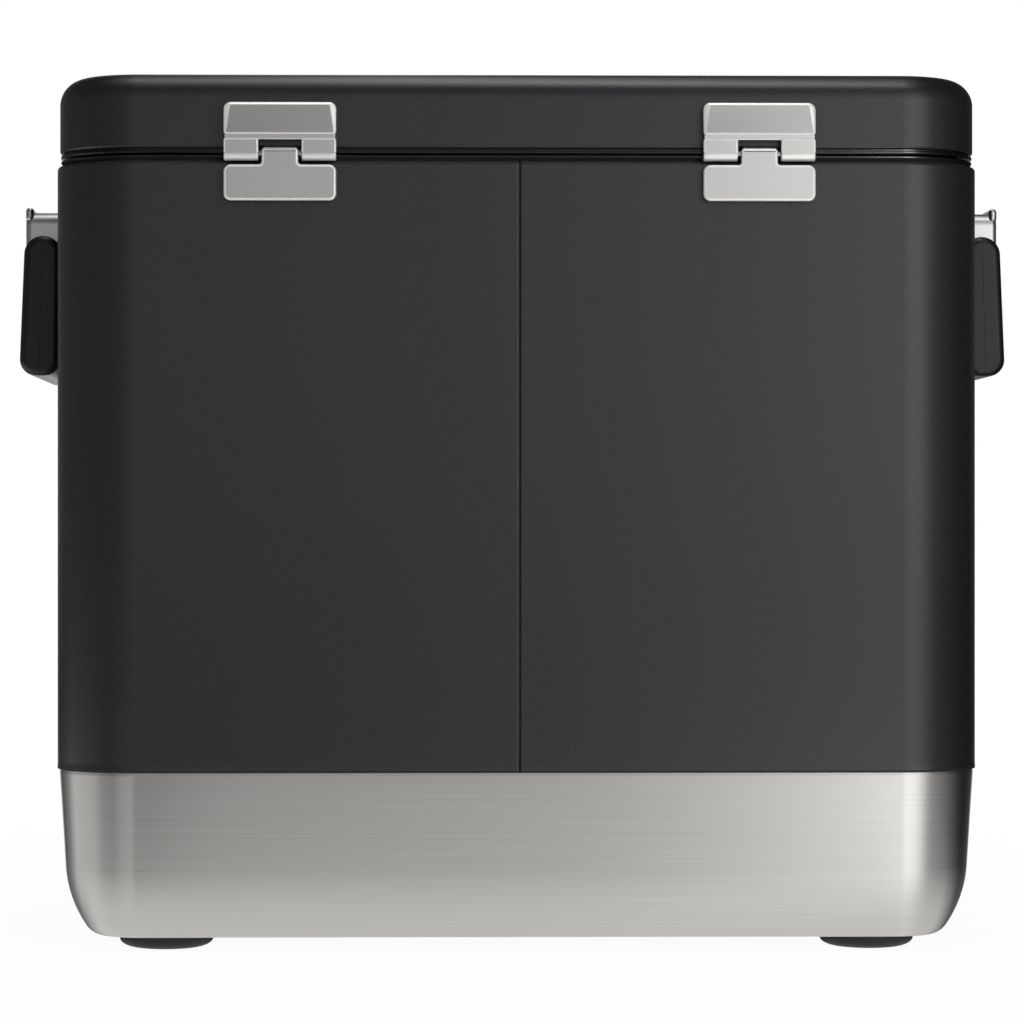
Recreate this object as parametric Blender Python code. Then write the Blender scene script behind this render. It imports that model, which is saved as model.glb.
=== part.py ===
"""A hard cooler: painted steel wrap over a stainless base pan, steel lid, plastic tub and foam.

Metres, +Z up, +Y towards the hinged back, origin on the floor under the middle of the box
that holds the whole cooler. Sizes are driving dimensions; places are worked out from them.
"""
import math

import bmesh
import bpy
from mathutils import Matrix, Vector

# Body
body_width = 0.511
body_depth = 0.365
corner_radius = 0.046
foot_height = 0.0068
pan_height = 0.0925
wrap_height = 0.3337
rim_gap = 0.007
lid_height = 0.0415
gap = 0.0003
foam_gap = 0.0004
cut_overrun = 0.002

# Steel sheets
skin_sheet = 0.0008
wrap_roll = 0.0022
wrap_lip = 0.003
seam_width = 0.0009
seam_strip_width = 0.024
pan_sheet = 0.001
pan_lap = 0.012
pan_sweep_radius = 0.068
pan_toe_radius = 0.0122
lid_inset = 0.0014
lid_round = 0.0145
lid_hem_radius = 0.0016
lid_hem = 0.003

# Plastic tub and collar
tub_wall_inset = 0.0455
tub_sheet = 0.0025
tub_corner = 0.034
tub_floor = 0.055
tub_fillet = 0.007
tub_flange = 0.018
collar_deck = 0.0026
collar_sheet = 0.0021
collar_ridge = 0.0014
collar_recess_inset = 0.0026
collar_ridge_inset = 0.0019
collar_skirt = 0.0065
collar_apron = 0.0016
collar_apron_drop = 0.006
parting_gap = 0.0009

# Lid liner and gasket
lid_liner_sheet = 0.0025
lid_liner_ridge_inset = 0.0017
lid_plug_depth = 0.0145
lid_plug_clearance = 0.0014
gasket_inset = 0.010
gasket_width = 0.012
gasket_groove = 0.0015

# Pressed stainless fittings: hinges, latch and hoods
fitting_sheet = 0.002
fitting_corner = 0.0038
fitting_edge_round = 0.0014
barrel_radius = 0.004
pin_radius = 0.0016

# Hinges
hinge_spacing = 0.261
hinge_width = 0.0612
hinge_proud = 0.0068
tongue_width = 0.0198
notch_width = 0.0238
lower_leaf_height = 0.0196
lower_leaf_drop = 0.0063
upper_leaf_height = 0.0177
upper_leaf_rise = 0.0101
upper_panel_step = 0.0012
upper_panel_bevel = 0.004
stud_radius = 0.002
stud_spacing = 0.040
backing_height = 0.011
backing_sheet = 0.002
backing_margin = 0.006

# Handles
handle_length = 0.153
handle_pivot_below_rim = 0.0432
handle_pivot_out = 0.0145
grip_thickness = 0.0214
grip_growth = 0.0009
grip_drop = 0.0698
grip_arm_width = 0.017
grip_bar_height = 0.0248
grip_bottom_round = 0.0095
grip_edge_round = 0.0045
grip_split = 0.0003
core_width = 0.012
core_sheet = 0.003
core_top = 0.0055
core_bend = 0.006
rod_radius = 0.003
rod_end_cover = 0.0032
bracket_sheet = 0.0016
bracket_corner = 0.0045
bracket_reach = 0.0256
hood_above_pivot = 0.0254
bracket_below_pivot = 0.0667
hood_drop = 0.020
hood_bend = 0.0055
bead_radius = 0.0019
bead_rise = 0.0026
ear_radius = 0.0082
lip_reach = 0.006
lip_width_share = 0.55

# Rivets
rivet_radius = 0.0024
rivet_head_radius = 0.0045
rivet_head_height = 0.0016

# Latch
latch_width = 0.052
latch_plate_height = 0.0185
latch_stud_spacing = 0.031
latch_pin_out = 0.0078
latch_pin_above_lid_edge = 0.008
latch_lever_width = 0.038
latch_lever_length = 0.057
latch_tab_length = 0.013
latch_reach = 0.021
latch_tooth_drop = 0.0355
latch_tooth_height = 0.003
latch_tooth_width = 0.018
latch_tooth_out = 0.0063
keeper_width = 0.036
keeper_height = 0.032
keeper_sheet = 0.002
keeper_ridge_reach = 0.0055
keeper_ridge_height = 0.006
keeper_ridge_below_rim = 0.0125

# Drain
drain_from_side = 0.100
drain_height = 0.070
drain_bore_radius = 0.0055
drain_tube_radius = 0.0075
drain_flange_radius = 0.0105
drain_flange = 0.0022
drain_washer = 0.002
drain_nut_radius = 0.016
drain_nut = 0.007
drain_spout_reach = 0.010
drain_cap_radius = 0.0125
drain_cap = 0.003
drain_plug_length = 0.005
drain_pin_radius = 0.0012

# Feet
foot_radius = 0.026
foot_sole_radius = 0.0155
foot_band = 0.0015
foot_from_side = 0.0605
foot_from_face = 0.046
foot_screw_radius = 0.0022
foot_screw_head_radius = 0.0052
foot_screw_head = 0.0021
foot_screw_recess = 0.003
foot_nut_radius = 0.0045
foot_nut_height = 0.003

# Angles in degrees
pan_draft = 3.5
pan_toe_angle = 34
tub_draft = 2
grip_splay = 1.5

# Facets
corner_steps = 6
round_steps = 5
inner_steps = 3
barrel_sides = 12
hole_sides = 8
foot_sides = 16
drain_sides = 16

# Heights and places worked out from the sizes above
half_width = body_width / 2
half_depth = body_depth / 2
pan_bottom = foot_height
wrap_bottom = pan_bottom + pan_height
wrap_top = wrap_bottom + wrap_height
lid_bottom = wrap_top + rim_gap
lid_top = lid_bottom + lid_height
pan_face_inset = skin_sheet + gap
foam_inset = pan_face_inset + pan_sheet + foam_gap
collar_top = wrap_top + rim_gap / 2 - foam_gap
liner_flange_bottom = collar_top + parting_gap
pin_height = wrap_top + rim_gap / 2
pin_out = hinge_proud - barrel_radius
panel_proud = hinge_proud + upper_panel_step
body_shift = (latch_reach - panel_proud) / 2
latch_pin_height = lid_bottom + latch_pin_above_lid_edge
handle_pivot_height = wrap_top - handle_pivot_below_rim
bracket_top = handle_pivot_height + hood_above_pivot
bracket_bottom = handle_pivot_height - bracket_below_pivot


def clear_scene():
    """Empties the scene without closing the file that the script runs from."""
    for item in list(bpy.data.objects):
        bpy.data.objects.remove(item, do_unlink=True)
    for mesh in list(bpy.data.meshes):
        bpy.data.meshes.remove(mesh)


def paint(name, colour, roughness, metallic):
    """One Principled material."""
    made = bpy.data.materials.new(name)
    made.use_nodes = True
    shader = made.node_tree.nodes["Principled BSDF"]
    shader.inputs["Base Color"].default_value = (*colour, 1)
    shader.inputs["Roughness"].default_value = roughness
    shader.inputs["Metallic"].default_value = metallic
    return made


def add(name, mesh_data, material, origin=Vector((0, 0, 0))):
    """Makes an object whose own origin is at the given point of the cooler."""
    bmesh.ops.recalc_face_normals(mesh_data, faces=mesh_data.faces)
    bmesh.ops.translate(mesh_data, verts=mesh_data.verts, vec=-Vector(origin))
    mesh = bpy.data.meshes.new(name)
    mesh_data.to_mesh(mesh)
    mesh_data.free()
    mesh.shade_smooth()
    mesh.set_sharp_from_angle(angle=math.radians(35))
    made = bpy.data.objects.new(name, mesh)
    bpy.context.scene.collection.objects.link(made)
    if material:
        mesh.materials.append(material)
    made.parent = cooler
    made.location = origin
    return made


def tool(name, mesh_data):
    """A cutter or a piece to be joined on, left out of the finished part."""
    made = add(name, mesh_data, None)
    made.hide_render = True
    made.display_type = "WIRE"
    return made


def boolean(target, other, operation):
    """Cuts the other object from the target, or joins it on."""
    step = target.modifiers.new(other.name, "BOOLEAN")
    step.object = other
    step.operation = operation
    step.solver = "EXACT"


def outline(half_x, half_y, radius, z, break_width=0):
    """A rounded rectangle's points, anticlockwise, opened at the back's middle if asked."""
    arcs = []
    for quarter, (side_x, side_y) in enumerate(((1, 1), (-1, 1), (-1, -1), (1, -1))):
        centre = Vector((side_x * (half_x - radius), side_y * (half_y - radius), z))
        arc = []
        for step in range(corner_steps + 1):
            angle = math.radians(90 * (quarter + step / corner_steps))
            arc.append(centre + radius * Vector((math.cos(angle), math.sin(angle), 0)))
        arcs.append(arc)
    if not break_width:
        return arcs[0] + arcs[1] + arcs[2] + arcs[3]
    start = Vector((-break_width / 2, half_y, z))
    end = Vector((break_width / 2, half_y, z))
    return [start] + arcs[1] + arcs[2] + arcs[3] + arcs[0] + [end]


def shell_ring(inset, z, break_width=0):
    """A ring parallel to the body's outer face."""
    return outline(half_width - inset, half_depth - inset, corner_radius - inset, z, break_width)


def tub_ring(inset, z):
    """A ring parallel to the tub's mouth, which has corners of its own."""
    radius = tub_corner + tub_wall_inset - inset
    return outline(half_width - inset, half_depth - inset, radius, z)


def loft(rings, closed_profile=False, open_path=False):
    """Skins rings of equal count: capped at both ends, or closed on themselves."""
    made = bmesh.new()
    rows = [[made.verts.new(point) for point in ring] for ring in rings]
    pairs = list(zip(rows, rows[1:]))
    if closed_profile:
        pairs.append((rows[-1], rows[0]))
    count = len(rows[0])
    for low, high in pairs:
        for index in range(count - 1 if open_path else count):
            after = (index + 1) % count
            made.faces.new((low[index], low[after], high[after], high[index]))
    if open_path:
        made.faces.new([row[0] for row in rows])
        made.faces.new([row[-1] for row in rows])
    elif not closed_profile:
        made.faces.new(list(reversed(rows[0])))
        made.faces.new(rows[-1])
    return made


def along_x(u, v, w):
    return Vector((w, u, v))


def along_y(u, v, w):
    return Vector((u, w, v))


def along_z(u, v, w):
    return Vector((u, v, w))


def prism(profile, place, low, high):
    """Extrudes a flat outline of (u, v) points from w = low to w = high."""
    rings = [[place(u, v, w) for u, v in profile] for w in (low, high)]
    return loft(rings)


def box(low, high):
    """A plain box between two corners."""
    (x0, y0, z0), (x1, y1, z1) = low, high
    profile = [(x0, y0), (x1, y0), (x1, y1), (x0, y1)]
    return prism(profile, along_z, z0, z1)


def rounded(low_u, low_v, high_u, high_v, radius, steps=3):
    """A flat rounded rectangle as (u, v) points."""
    points = []
    corners = ((high_u, high_v, -1, -1), (low_u, high_v, 1, -1))
    corners += ((low_u, low_v, 1, 1), (high_u, low_v, -1, 1))
    for quarter, (u, v, du, dv) in enumerate(corners):
        for step in range(steps + 1):
            angle = math.radians(90 * (quarter + step / steps))
            centre_u = u + du * radius
            centre_v = v + dv * radius
            across = radius * math.cos(angle)
            up = radius * math.sin(angle)
            points.append((centre_u + across, centre_v + up))
    return points


def arc(centre_u, centre_v, radius, start, end, steps):
    """Points on an arc, angles in degrees from +u towards +v."""
    points = []
    for step in range(steps + 1):
        angle = math.radians(start + (end - start) * step / steps)
        points.append((centre_u + radius * math.cos(angle), centre_v + radius * math.sin(angle)))
    return points


def turned(profile, sides, closed_profile=False):
    """Turns (radius, height) points round +Z. An open profile is capped at both ends."""
    rings = []
    for radius, height in profile:
        ring = []
        for side in range(sides):
            angle = math.tau * side / sides
            ring.append(Vector((radius * math.cos(angle), radius * math.sin(angle), height)))
        rings.append(ring)
    return loft(rings, closed_profile)


def rod(radius, low, high, sides=barrel_sides):
    """A plain cylinder along +Z."""
    return turned([(radius, low), (radius, high)], sides)


def moved(mesh_data, matrix):
    """Places a piece made about the origin."""
    bmesh.ops.transform(mesh_data, verts=mesh_data.verts, matrix=matrix)
    return mesh_data


def group(pieces):
    """Puts separate solids into one mesh."""
    whole = bmesh.new()
    for piece in pieces:
        mesh = bpy.data.meshes.new("piece")
        piece.to_mesh(mesh)
        piece.free()
        whole.from_mesh(mesh)
        bpy.data.meshes.remove(mesh)
    return whole


def at(x, y, z):
    return Matrix.Translation((x, y, z))


def facing(direction):
    """Turns +Z to one of the cooler's faces: back, front, right or left."""
    turns = {
        "back": Matrix.Rotation(math.radians(-90), 4, "X"),
        "front": Matrix.Rotation(math.radians(90), 4, "X"),
        "right": Matrix.Rotation(math.radians(90), 4, "Y"),
        "left": Matrix.Rotation(math.radians(-90), 4, "Y"),
    }
    return turns[direction]


def along_face(side, out, across, z):
    """A point given by its distance out from a face, its place across that face and its height."""
    if side == "back":
        return Vector((across, half_depth + out, z))
    if side == "front":
        return Vector((across, -half_depth - out, z))
    if side == "right":
        return Vector((half_width + out, across, z))
    return Vector((-half_width - out, across, z))


def face_prism(side, profile, low, high):
    """Extrudes an (out, height) outline across a face."""
    rings = [[along_face(side, out, across, z) for out, z in profile] for across in (low, high)]
    return loft(rings)


def fixing_places():
    """Every stud and rivet that goes through the body wrap: side, across, height."""
    places = [("back", x, lower_stud_height) for x in hinge_stud_places()]
    places += [(side, y, z) for side in ("right", "left") for y, z in handle_rivet_places()]
    places += [("front", x, keeper_rivet_height) for x in keeper_rivet_places()]
    return places


def hinge_centres():
    return (hinge_spacing / 2, -hinge_spacing / 2)


def hinge_stud_places():
    return [centre + side * stud_spacing / 2 for centre in hinge_centres() for side in (1, -1)]


def handle_rivet_places():
    across = handle_length / 2 - grip_arm_width - rivet_head_radius * 3
    upper = handle_pivot_height - rod_radius - rivet_head_radius * 2
    lower = handle_pivot_height - grip_drop + grip_bar_height + rivet_head_radius * 2
    return [(side * across, z) for side in (1, -1) for z in (upper, lower)]


def keeper_rivet_places():
    return [side * keeper_width / 3 for side in (1, -1)]


def face_hole(side, across, z, radius, out, depth):
    """A cutter through a face, from its overrun outside to a depth inside."""
    hole = rod(radius, -depth, out, hole_sides)
    return moved(hole, Matrix.Translation(along_face(side, 0, across, z)) @ facing(side))


def pan_profile(offset, toe_steps, sweep_steps):
    """The base pan's side as (inset, height), bottom to top, offset inwards for its inner face."""
    toe = math.radians(pan_toe_angle)
    draft = math.radians(pan_draft)
    sweep = pan_sweep_radius - offset
    small = pan_toe_radius - offset
    fall = pan_sweep_radius * (math.sin(toe) - math.sin(draft))
    fall += pan_toe_radius * (1 - math.sin(toe))
    run = (pan_height - fall) * math.tan(draft)
    sweep_u = pan_face_inset + run + pan_sweep_radius * math.cos(draft)
    sweep_v = pan_bottom + pan_toe_radius * (1 - math.sin(toe)) + pan_sweep_radius * math.sin(toe)
    toe_u = sweep_u - (pan_sweep_radius - pan_toe_radius) * math.cos(toe)
    toe_v = sweep_v - (pan_sweep_radius - pan_toe_radius) * math.sin(toe)
    points = arc(toe_u, toe_v, small, 270, 180 + pan_toe_angle, toe_steps)
    points += arc(sweep_u, sweep_v, sweep, 180 + pan_toe_angle, 180 + pan_draft, sweep_steps)[1:]
    return points


def make_base_pan():
    """Deep drawn stainless tray that laps inside the wrap."""
    top = wrap_bottom + pan_lap
    outer = [shell_ring(u, z) for u, z in pan_profile(0, 3, 4)]
    outer += [shell_ring(pan_face_inset, wrap_bottom), shell_ring(pan_face_inset, top)]
    inner = [shell_ring(u, z) for u, z in pan_profile(pan_sheet, 2, 2)]
    inner_inset = pan_face_inset + pan_sheet
    inner += [shell_ring(inner_inset, wrap_bottom), shell_ring(inner_inset, top)]
    pan = add("base_pan", loft(outer + inner[::-1]), steel)
    holes = []
    for x, y in foot_places():
        low = pan_bottom - cut_overrun
        high = pan_bottom + pan_sheet + foot_nut_height + cut_overrun
        holes.append(moved(rod(foot_screw_radius + gap, low, high), at(x, y, 0)))
    holes.append(drain_hole(drain_tube_radius + gap, -pan_sheet - cut_overrun, cut_overrun))
    nuts = []
    for x, y in foot_places():
        seat = pan_bottom + pan_sheet / 2
        nut_top = pan_bottom + pan_sheet + foot_nut_height
        nuts.append(moved(rod(foot_nut_radius, seat, nut_top, 6), at(x, y, 0)))
    boolean(pan, tool("pan_weld_nuts", group(nuts)), "UNION")
    boolean(pan, tool("pan_holes", group(holes)), "DIFFERENCE")
    return pan


def make_body_wrap():
    """One steel sheet bent round the body, its ends meeting in a butt seam at the back."""
    centre_z = wrap_top - wrap_roll
    outer = [(0, wrap_bottom)] + arc(wrap_roll, centre_z, wrap_roll, 180, 90, 2)
    outer += [(wrap_lip, wrap_top)]
    inner = [(wrap_lip, wrap_top - skin_sheet)]
    inner += arc(wrap_roll, centre_z, wrap_roll - skin_sheet, 90, 180, 2)
    inner += [(skin_sheet, wrap_bottom)]
    rings = [shell_ring(u, z, seam_width) for u, z in outer + inner]
    wrap = add("body_wrap", loft(rings, closed_profile=True, open_path=True), black_steel)
    holes = []
    for side, across, z in fixing_places():
        radius = stud_radius if side == "back" else rivet_radius
        depth = skin_sheet + cut_overrun
        holes.append(face_hole(side, across, z, radius + gap, cut_overrun, depth))
    boolean(wrap, tool("wrap_holes", group(holes)), "DIFFERENCE")
    return wrap


def make_seam_strip():
    """Backing strip that closes the butt seam from inside."""
    back = half_depth - skin_sheet - gap
    low = (-seam_strip_width / 2, back - skin_sheet, wrap_bottom + pan_lap + gap)
    high = (seam_strip_width / 2, back, wrap_top - wrap_roll - skin_sheet)
    return add("seam_strip", box(low, high), steel)


def make_collar():
    """Glossy plastic rim that caps the wrap and the tub."""
    under = collar_top - collar_deck
    skirt_inset = wrap_lip + gap
    ridge_low = collar_top - collar_ridge
    soft = collar_ridge / 4
    apron = tub_wall_inset + gap + collar_apron
    outer = [
        shell_ring(skirt_inset, wrap_top - collar_skirt),
        shell_ring(skirt_inset, wrap_top + gap),
        shell_ring(collar_recess_inset, wrap_top + gap),
        shell_ring(collar_recess_inset, ridge_low),
        shell_ring(collar_ridge_inset, ridge_low + soft),
        shell_ring(collar_ridge_inset, collar_top - soft),
        shell_ring(collar_ridge_inset + soft, collar_top),
    ]
    inner = [
        tub_ring(apron - soft * 2, collar_top),
        tub_ring(apron, collar_top - soft * 2),
        tub_ring(apron, collar_top - collar_apron_drop),
        tub_ring(tub_wall_inset + gap, collar_top - collar_apron_drop),
        tub_ring(tub_wall_inset + gap, under),
        shell_ring(skirt_inset + collar_sheet, under),
        shell_ring(skirt_inset + collar_sheet, wrap_top - collar_skirt),
    ]
    return add("collar", loft(outer + inner, closed_profile=True), gloss_black)


def tub_inset(z):
    """How far in the tub's inner face lies at a height, with its draft."""
    return tub_wall_inset + (wrap_top - z) * math.tan(math.radians(tub_draft))


def tub_profile(offset):
    """The tub's inner face, offset outwards if asked, as (inset, height), top to bottom."""
    centre_z = tub_floor + tub_fillet
    centre_u = tub_inset(centre_z) + tub_fillet
    return arc(centre_u, centre_z, tub_fillet + offset, 180, 270, 3)


def make_liner_tub():
    """Moulded tub with a flange that hangs under the collar's deck."""
    top = collar_top - collar_deck - gap
    outer_inset = tub_wall_inset - tub_sheet
    flange_inset = outer_inset - tub_flange
    rings = [tub_ring(u, z) for u, z in tub_profile(tub_sheet)][::-1]
    rings += [
        tub_ring(outer_inset, top - tub_sheet),
        tub_ring(flange_inset, top - tub_sheet),
        tub_ring(flange_inset, top),
        tub_ring(tub_wall_inset, top),
    ]
    rings += [tub_ring(u, z) for u, z in tub_profile(0)]
    tub = add("liner_tub", loft(rings), grey_plastic)
    depth = tub_inset(drain_height) + cut_overrun * 3
    hole = drain_hole(drain_tube_radius + gap, -depth, -foam_inset)
    boolean(tub, tool("tub_drain_hole", hole), "DIFFERENCE")
    return tub


def make_body_foam():
    """Foam that fills the wall between the steel and the tub."""
    top = wrap_top - collar_skirt - foam_gap
    outer = [shell_ring(u, z) for u, z in pan_profile(pan_sheet + foam_gap, 2, 2)]
    outer += [shell_ring(foam_inset, wrap_bottom), shell_ring(foam_inset, top)]
    offset = tub_sheet + foam_gap
    pocket_top = tub_inset(wrap_top) - offset
    flange_low = collar_top - collar_deck - gap - tub_sheet - foam_gap
    level = min(top, flange_low)
    inner = [tub_ring(pocket_top, level)] + [tub_ring(u, z) for u, z in tub_profile(offset)]
    foam = add("body_foam", loft(outer + inner), foam_yellow)
    cutters = []
    for x in hinge_centres():
        cutters.append(backing_box("back", x, lower_stud_height, 0, stud_spacing, foam_gap))
    for side, across, z in fixing_places():
        if side != "back":
            depth = skin_sheet + gap + rivet_head_height + foam_gap
            cutters.append(face_hole(side, across, z, rivet_radius * 1.5 + foam_gap, 0, depth))
    for x, y in foot_places():
        pocket = rod(foot_nut_radius + foam_gap, 0, foot_screw_top + foam_gap)
        cutters.append(moved(pocket, at(x, y, 0)))
    depth = tub_inset(drain_height) + cut_overrun
    cutters.append(drain_hole(drain_tube_radius + foam_gap, -depth, 0))
    boolean(foam, tool("foam_pockets", group(cutters)), "DIFFERENCE")
    return foam


def foot_places():
    x = half_width - foot_from_side
    y = half_depth - foot_from_face
    return [(x, y), (-x, y), (-x, -y), (x, -y)]


def make_feet():
    """Four rubber buttons, screwed up into nuts on the pan's floor."""
    top = foot_height - gap
    edge = top - foot_band
    side = []
    for step in range(4):
        angle = math.radians(30 * step)
        radius = foot_sole_radius + (foot_radius - foot_sole_radius) * math.sin(angle)
        side.append((radius, edge * (1 - math.cos(angle))))
    hole = foot_screw_radius + gap
    well = foot_screw_head_radius + gap
    profile = side + [(foot_radius, top), (hole, top)]
    profile += [(hole, foot_screw_recess), (well, foot_screw_recess), (well, 0)]
    names = ("foot_back_right", "foot_back_left", "foot_front_left", "foot_front_right")
    for name, (x, y) in zip(names, foot_places()):
        foot = turned(profile, foot_sides, closed_profile=True)
        centre = Vector((x, y, 0))
        add(name, moved(foot, at(x, y, 0)), rubber, centre)
        head_top = foot_screw_recess - gap
        head = foot_screw_head_radius
        screw = [(head, head_top - foot_screw_head), (head, head_top)]
        screw += [(foot_screw_radius, head_top), (foot_screw_radius, foot_screw_top)]
        add(f"{name}_screw", moved(turned(screw, hole_sides), at(x, y, 0)), steel, centre)


def make_lid_shell():
    """Drawn steel lid with a soft top edge and a hem turned in at the bottom."""
    hem_z = lid_bottom + lid_hem_radius
    hem_u = lid_inset + lid_hem_radius
    top_u = lid_inset + lid_round
    top_z = lid_top - lid_round
    outer = [(lid_inset + lid_hem, lid_bottom)]
    outer += arc(hem_u, hem_z, lid_hem_radius, 270, 180, 2)
    outer += arc(top_u, top_z, lid_round, 180, 90, round_steps)
    inner = [(lid_inset + lid_hem, lid_bottom + skin_sheet)]
    inner += arc(hem_u, hem_z, lid_hem_radius - skin_sheet, 270, 180, 2)
    inner += arc(top_u, top_z, lid_round - skin_sheet, 180, 90, inner_steps)
    rings = [shell_ring(u, z) for u, z in inner[::-1] + outer]
    shell = add("lid_shell", loft(rings), black_steel, lid_axis)
    holes = []
    depth = lid_inset + skin_sheet + cut_overrun
    for side, across, z in lid_fixing_places():
        holes.append(face_hole(side, across, z, stud_radius + gap, 0, depth))
    boolean(shell, tool("lid_holes", group(holes)), "DIFFERENCE")
    return shell


def lid_fixing_places():
    places = [("back", x, upper_stud_height) for x in hinge_stud_places()]
    places += [("front", x, latch_stud_height) for x in latch_stud_places()]
    return places


def latch_stud_places():
    return [side * latch_stud_spacing / 2 for side in (1, -1)]


def make_lid_liner():
    """Moulded inner lid: a rim ridge, a gasket groove and a plug that drops into the tub."""
    top = lid_bottom - gap
    low = liner_flange_bottom
    soft = (top - low) / 6
    plug = tub_wall_inset + gap + collar_apron + lid_plug_clearance
    plug_low = low - lid_plug_depth
    groove = gasket_inset + gasket_width
    rings = [
        tub_ring(plug + lid_liner_sheet * 1.5, plug_low + lid_liner_sheet),
        tub_ring(plug + lid_liner_sheet, plug_low + lid_liner_sheet * 1.5),
        tub_ring(plug + lid_liner_sheet, top),
        shell_ring(lid_liner_ridge_inset + soft, top),
        shell_ring(lid_liner_ridge_inset, top - soft),
        shell_ring(lid_liner_ridge_inset, low + soft),
        shell_ring(lid_liner_ridge_inset + soft, low),
        shell_ring(gasket_inset, low),
        shell_ring(gasket_inset, low + gasket_groove),
        shell_ring(groove, low + gasket_groove),
        shell_ring(groove, low),
        tub_ring(plug, low),
        tub_ring(plug, plug_low + lid_liner_sheet),
        tub_ring(plug + lid_liner_sheet, plug_low),
    ]
    return add("lid_liner", loft(rings[::-1]), gloss_black, lid_axis)


def make_lid_foam():
    """Foam that fills the lid."""
    inset = lid_inset + skin_sheet + foam_gap
    hem_inset = lid_inset + lid_hem + foam_gap
    plug = tub_wall_inset + gap + collar_apron + lid_plug_clearance + lid_liner_sheet + foam_gap
    low = liner_flange_bottom - lid_plug_depth + lid_liner_sheet * 1.5 + foam_gap
    flat = lid_bottom - gap + foam_gap
    hem_top = lid_bottom + lid_hem_radius + foam_gap
    top_u = lid_inset + lid_round
    top_z = lid_top - lid_round
    rings = [tub_ring(plug, low), tub_ring(plug, flat), shell_ring(hem_inset, flat)]
    rings += [shell_ring(hem_inset, hem_top), shell_ring(inset, hem_top)]
    curve = arc(top_u, top_z, lid_round - skin_sheet - foam_gap, 180, 90, inner_steps)
    rings += [shell_ring(u, z) for u, z in curve]
    foam = add("lid_foam", loft(rings), foam_yellow, lid_axis)
    cutters = []
    for x in hinge_centres():
        cutters.append(
            backing_box("back", x, upper_stud_height, lid_inset, stud_spacing, foam_gap)
        )
    cutters.append(
        backing_box("front", 0, latch_stud_height, lid_inset, latch_stud_spacing, foam_gap)
    )
    boolean(foam, tool("lid_foam_pockets", group(cutters)), "DIFFERENCE")
    return foam


def make_lid_gasket():
    """Soft seal in the liner's groove, a hair above the collar."""
    outer = gasket_inset + gap
    inner = gasket_inset + gasket_width - gap
    low = collar_top + gap
    high = liner_flange_bottom + gasket_groove - gap
    profile = [(outer, low), (outer, high), (inner, high), (inner, low)]
    rings = [shell_ring(u, z) for u, z in profile]
    return add("lid_gasket", loft(rings, closed_profile=True), rubber, lid_axis)


def curled_leaf(pin_u, pin_v, far_v):
    """A leaf rolled round a pin: it leaves the barrel's outer side and runs up or down to far_v."""
    radius = barrel_radius
    sheet = fitting_sheet
    opening = math.degrees(math.acos((radius - sheet) / radius))
    turn = -1 if far_v > pin_v else 1
    points = [(pin_u + radius - sheet, far_v), (pin_u + radius, far_v)]
    points += arc(pin_u, pin_v, radius, 0, turn * (360 - opening), 10)
    return points


def pin_hole(side, pin_u, pin_v, radius, across, half_length):
    """A cutter or a pin that lies across a face."""
    hole = rod(radius, -half_length, half_length)
    return moved(hole, Matrix.Translation(along_face(side, pin_u, across, pin_v)) @ facing("right"))


def dished_plate(side, across, low, high, width, back_u, face_u, bevel):
    """A pressed plate and its hollow, its sides leaning in by bevel towards the top."""
    sheet = fitting_sheet
    corner = fitting_corner
    edge = fitting_edge_round
    sections = []
    for depth, shrink in ((back_u, 0), (face_u - edge, 0), (face_u, edge)):
        lean = bevel * (depth - back_u) / (face_u - back_u)
        section = []
        for u, v in rounded(-width / 2, low, width / 2, high, corner, 3):
            share = (v - low) / (high - low)
            pull = math.copysign(lean * share + shrink, u)
            lift = shrink if v > (low + high) / 2 else -shrink
            section.append(along_face(side, depth, across + u - pull, v - lift))
        sections.append(section)
    plate = loft(sections)
    pocket_sections = []
    for depth in (back_u - cut_overrun, face_u - sheet):
        section = []
        half = width / 2 - sheet
        for u, v in rounded(-half, low + sheet, half, high - sheet, corner / 2, 2):
            share = (v - low) / (high - low)
            pull = math.copysign(bevel * share, u)
            section.append(along_face(side, depth, across + u - pull, v))
        pocket_sections.append(section)
    return plate, loft(pocket_sections)


def face_stud(side, across, z, start_u, depth):
    """A weld stud that runs inwards from a plate's back."""
    place = Matrix.Translation(along_face(side, 0, across, z)) @ facing(side)
    return moved(rod(stud_radius, -depth, start_u, hole_sides), place)


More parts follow.
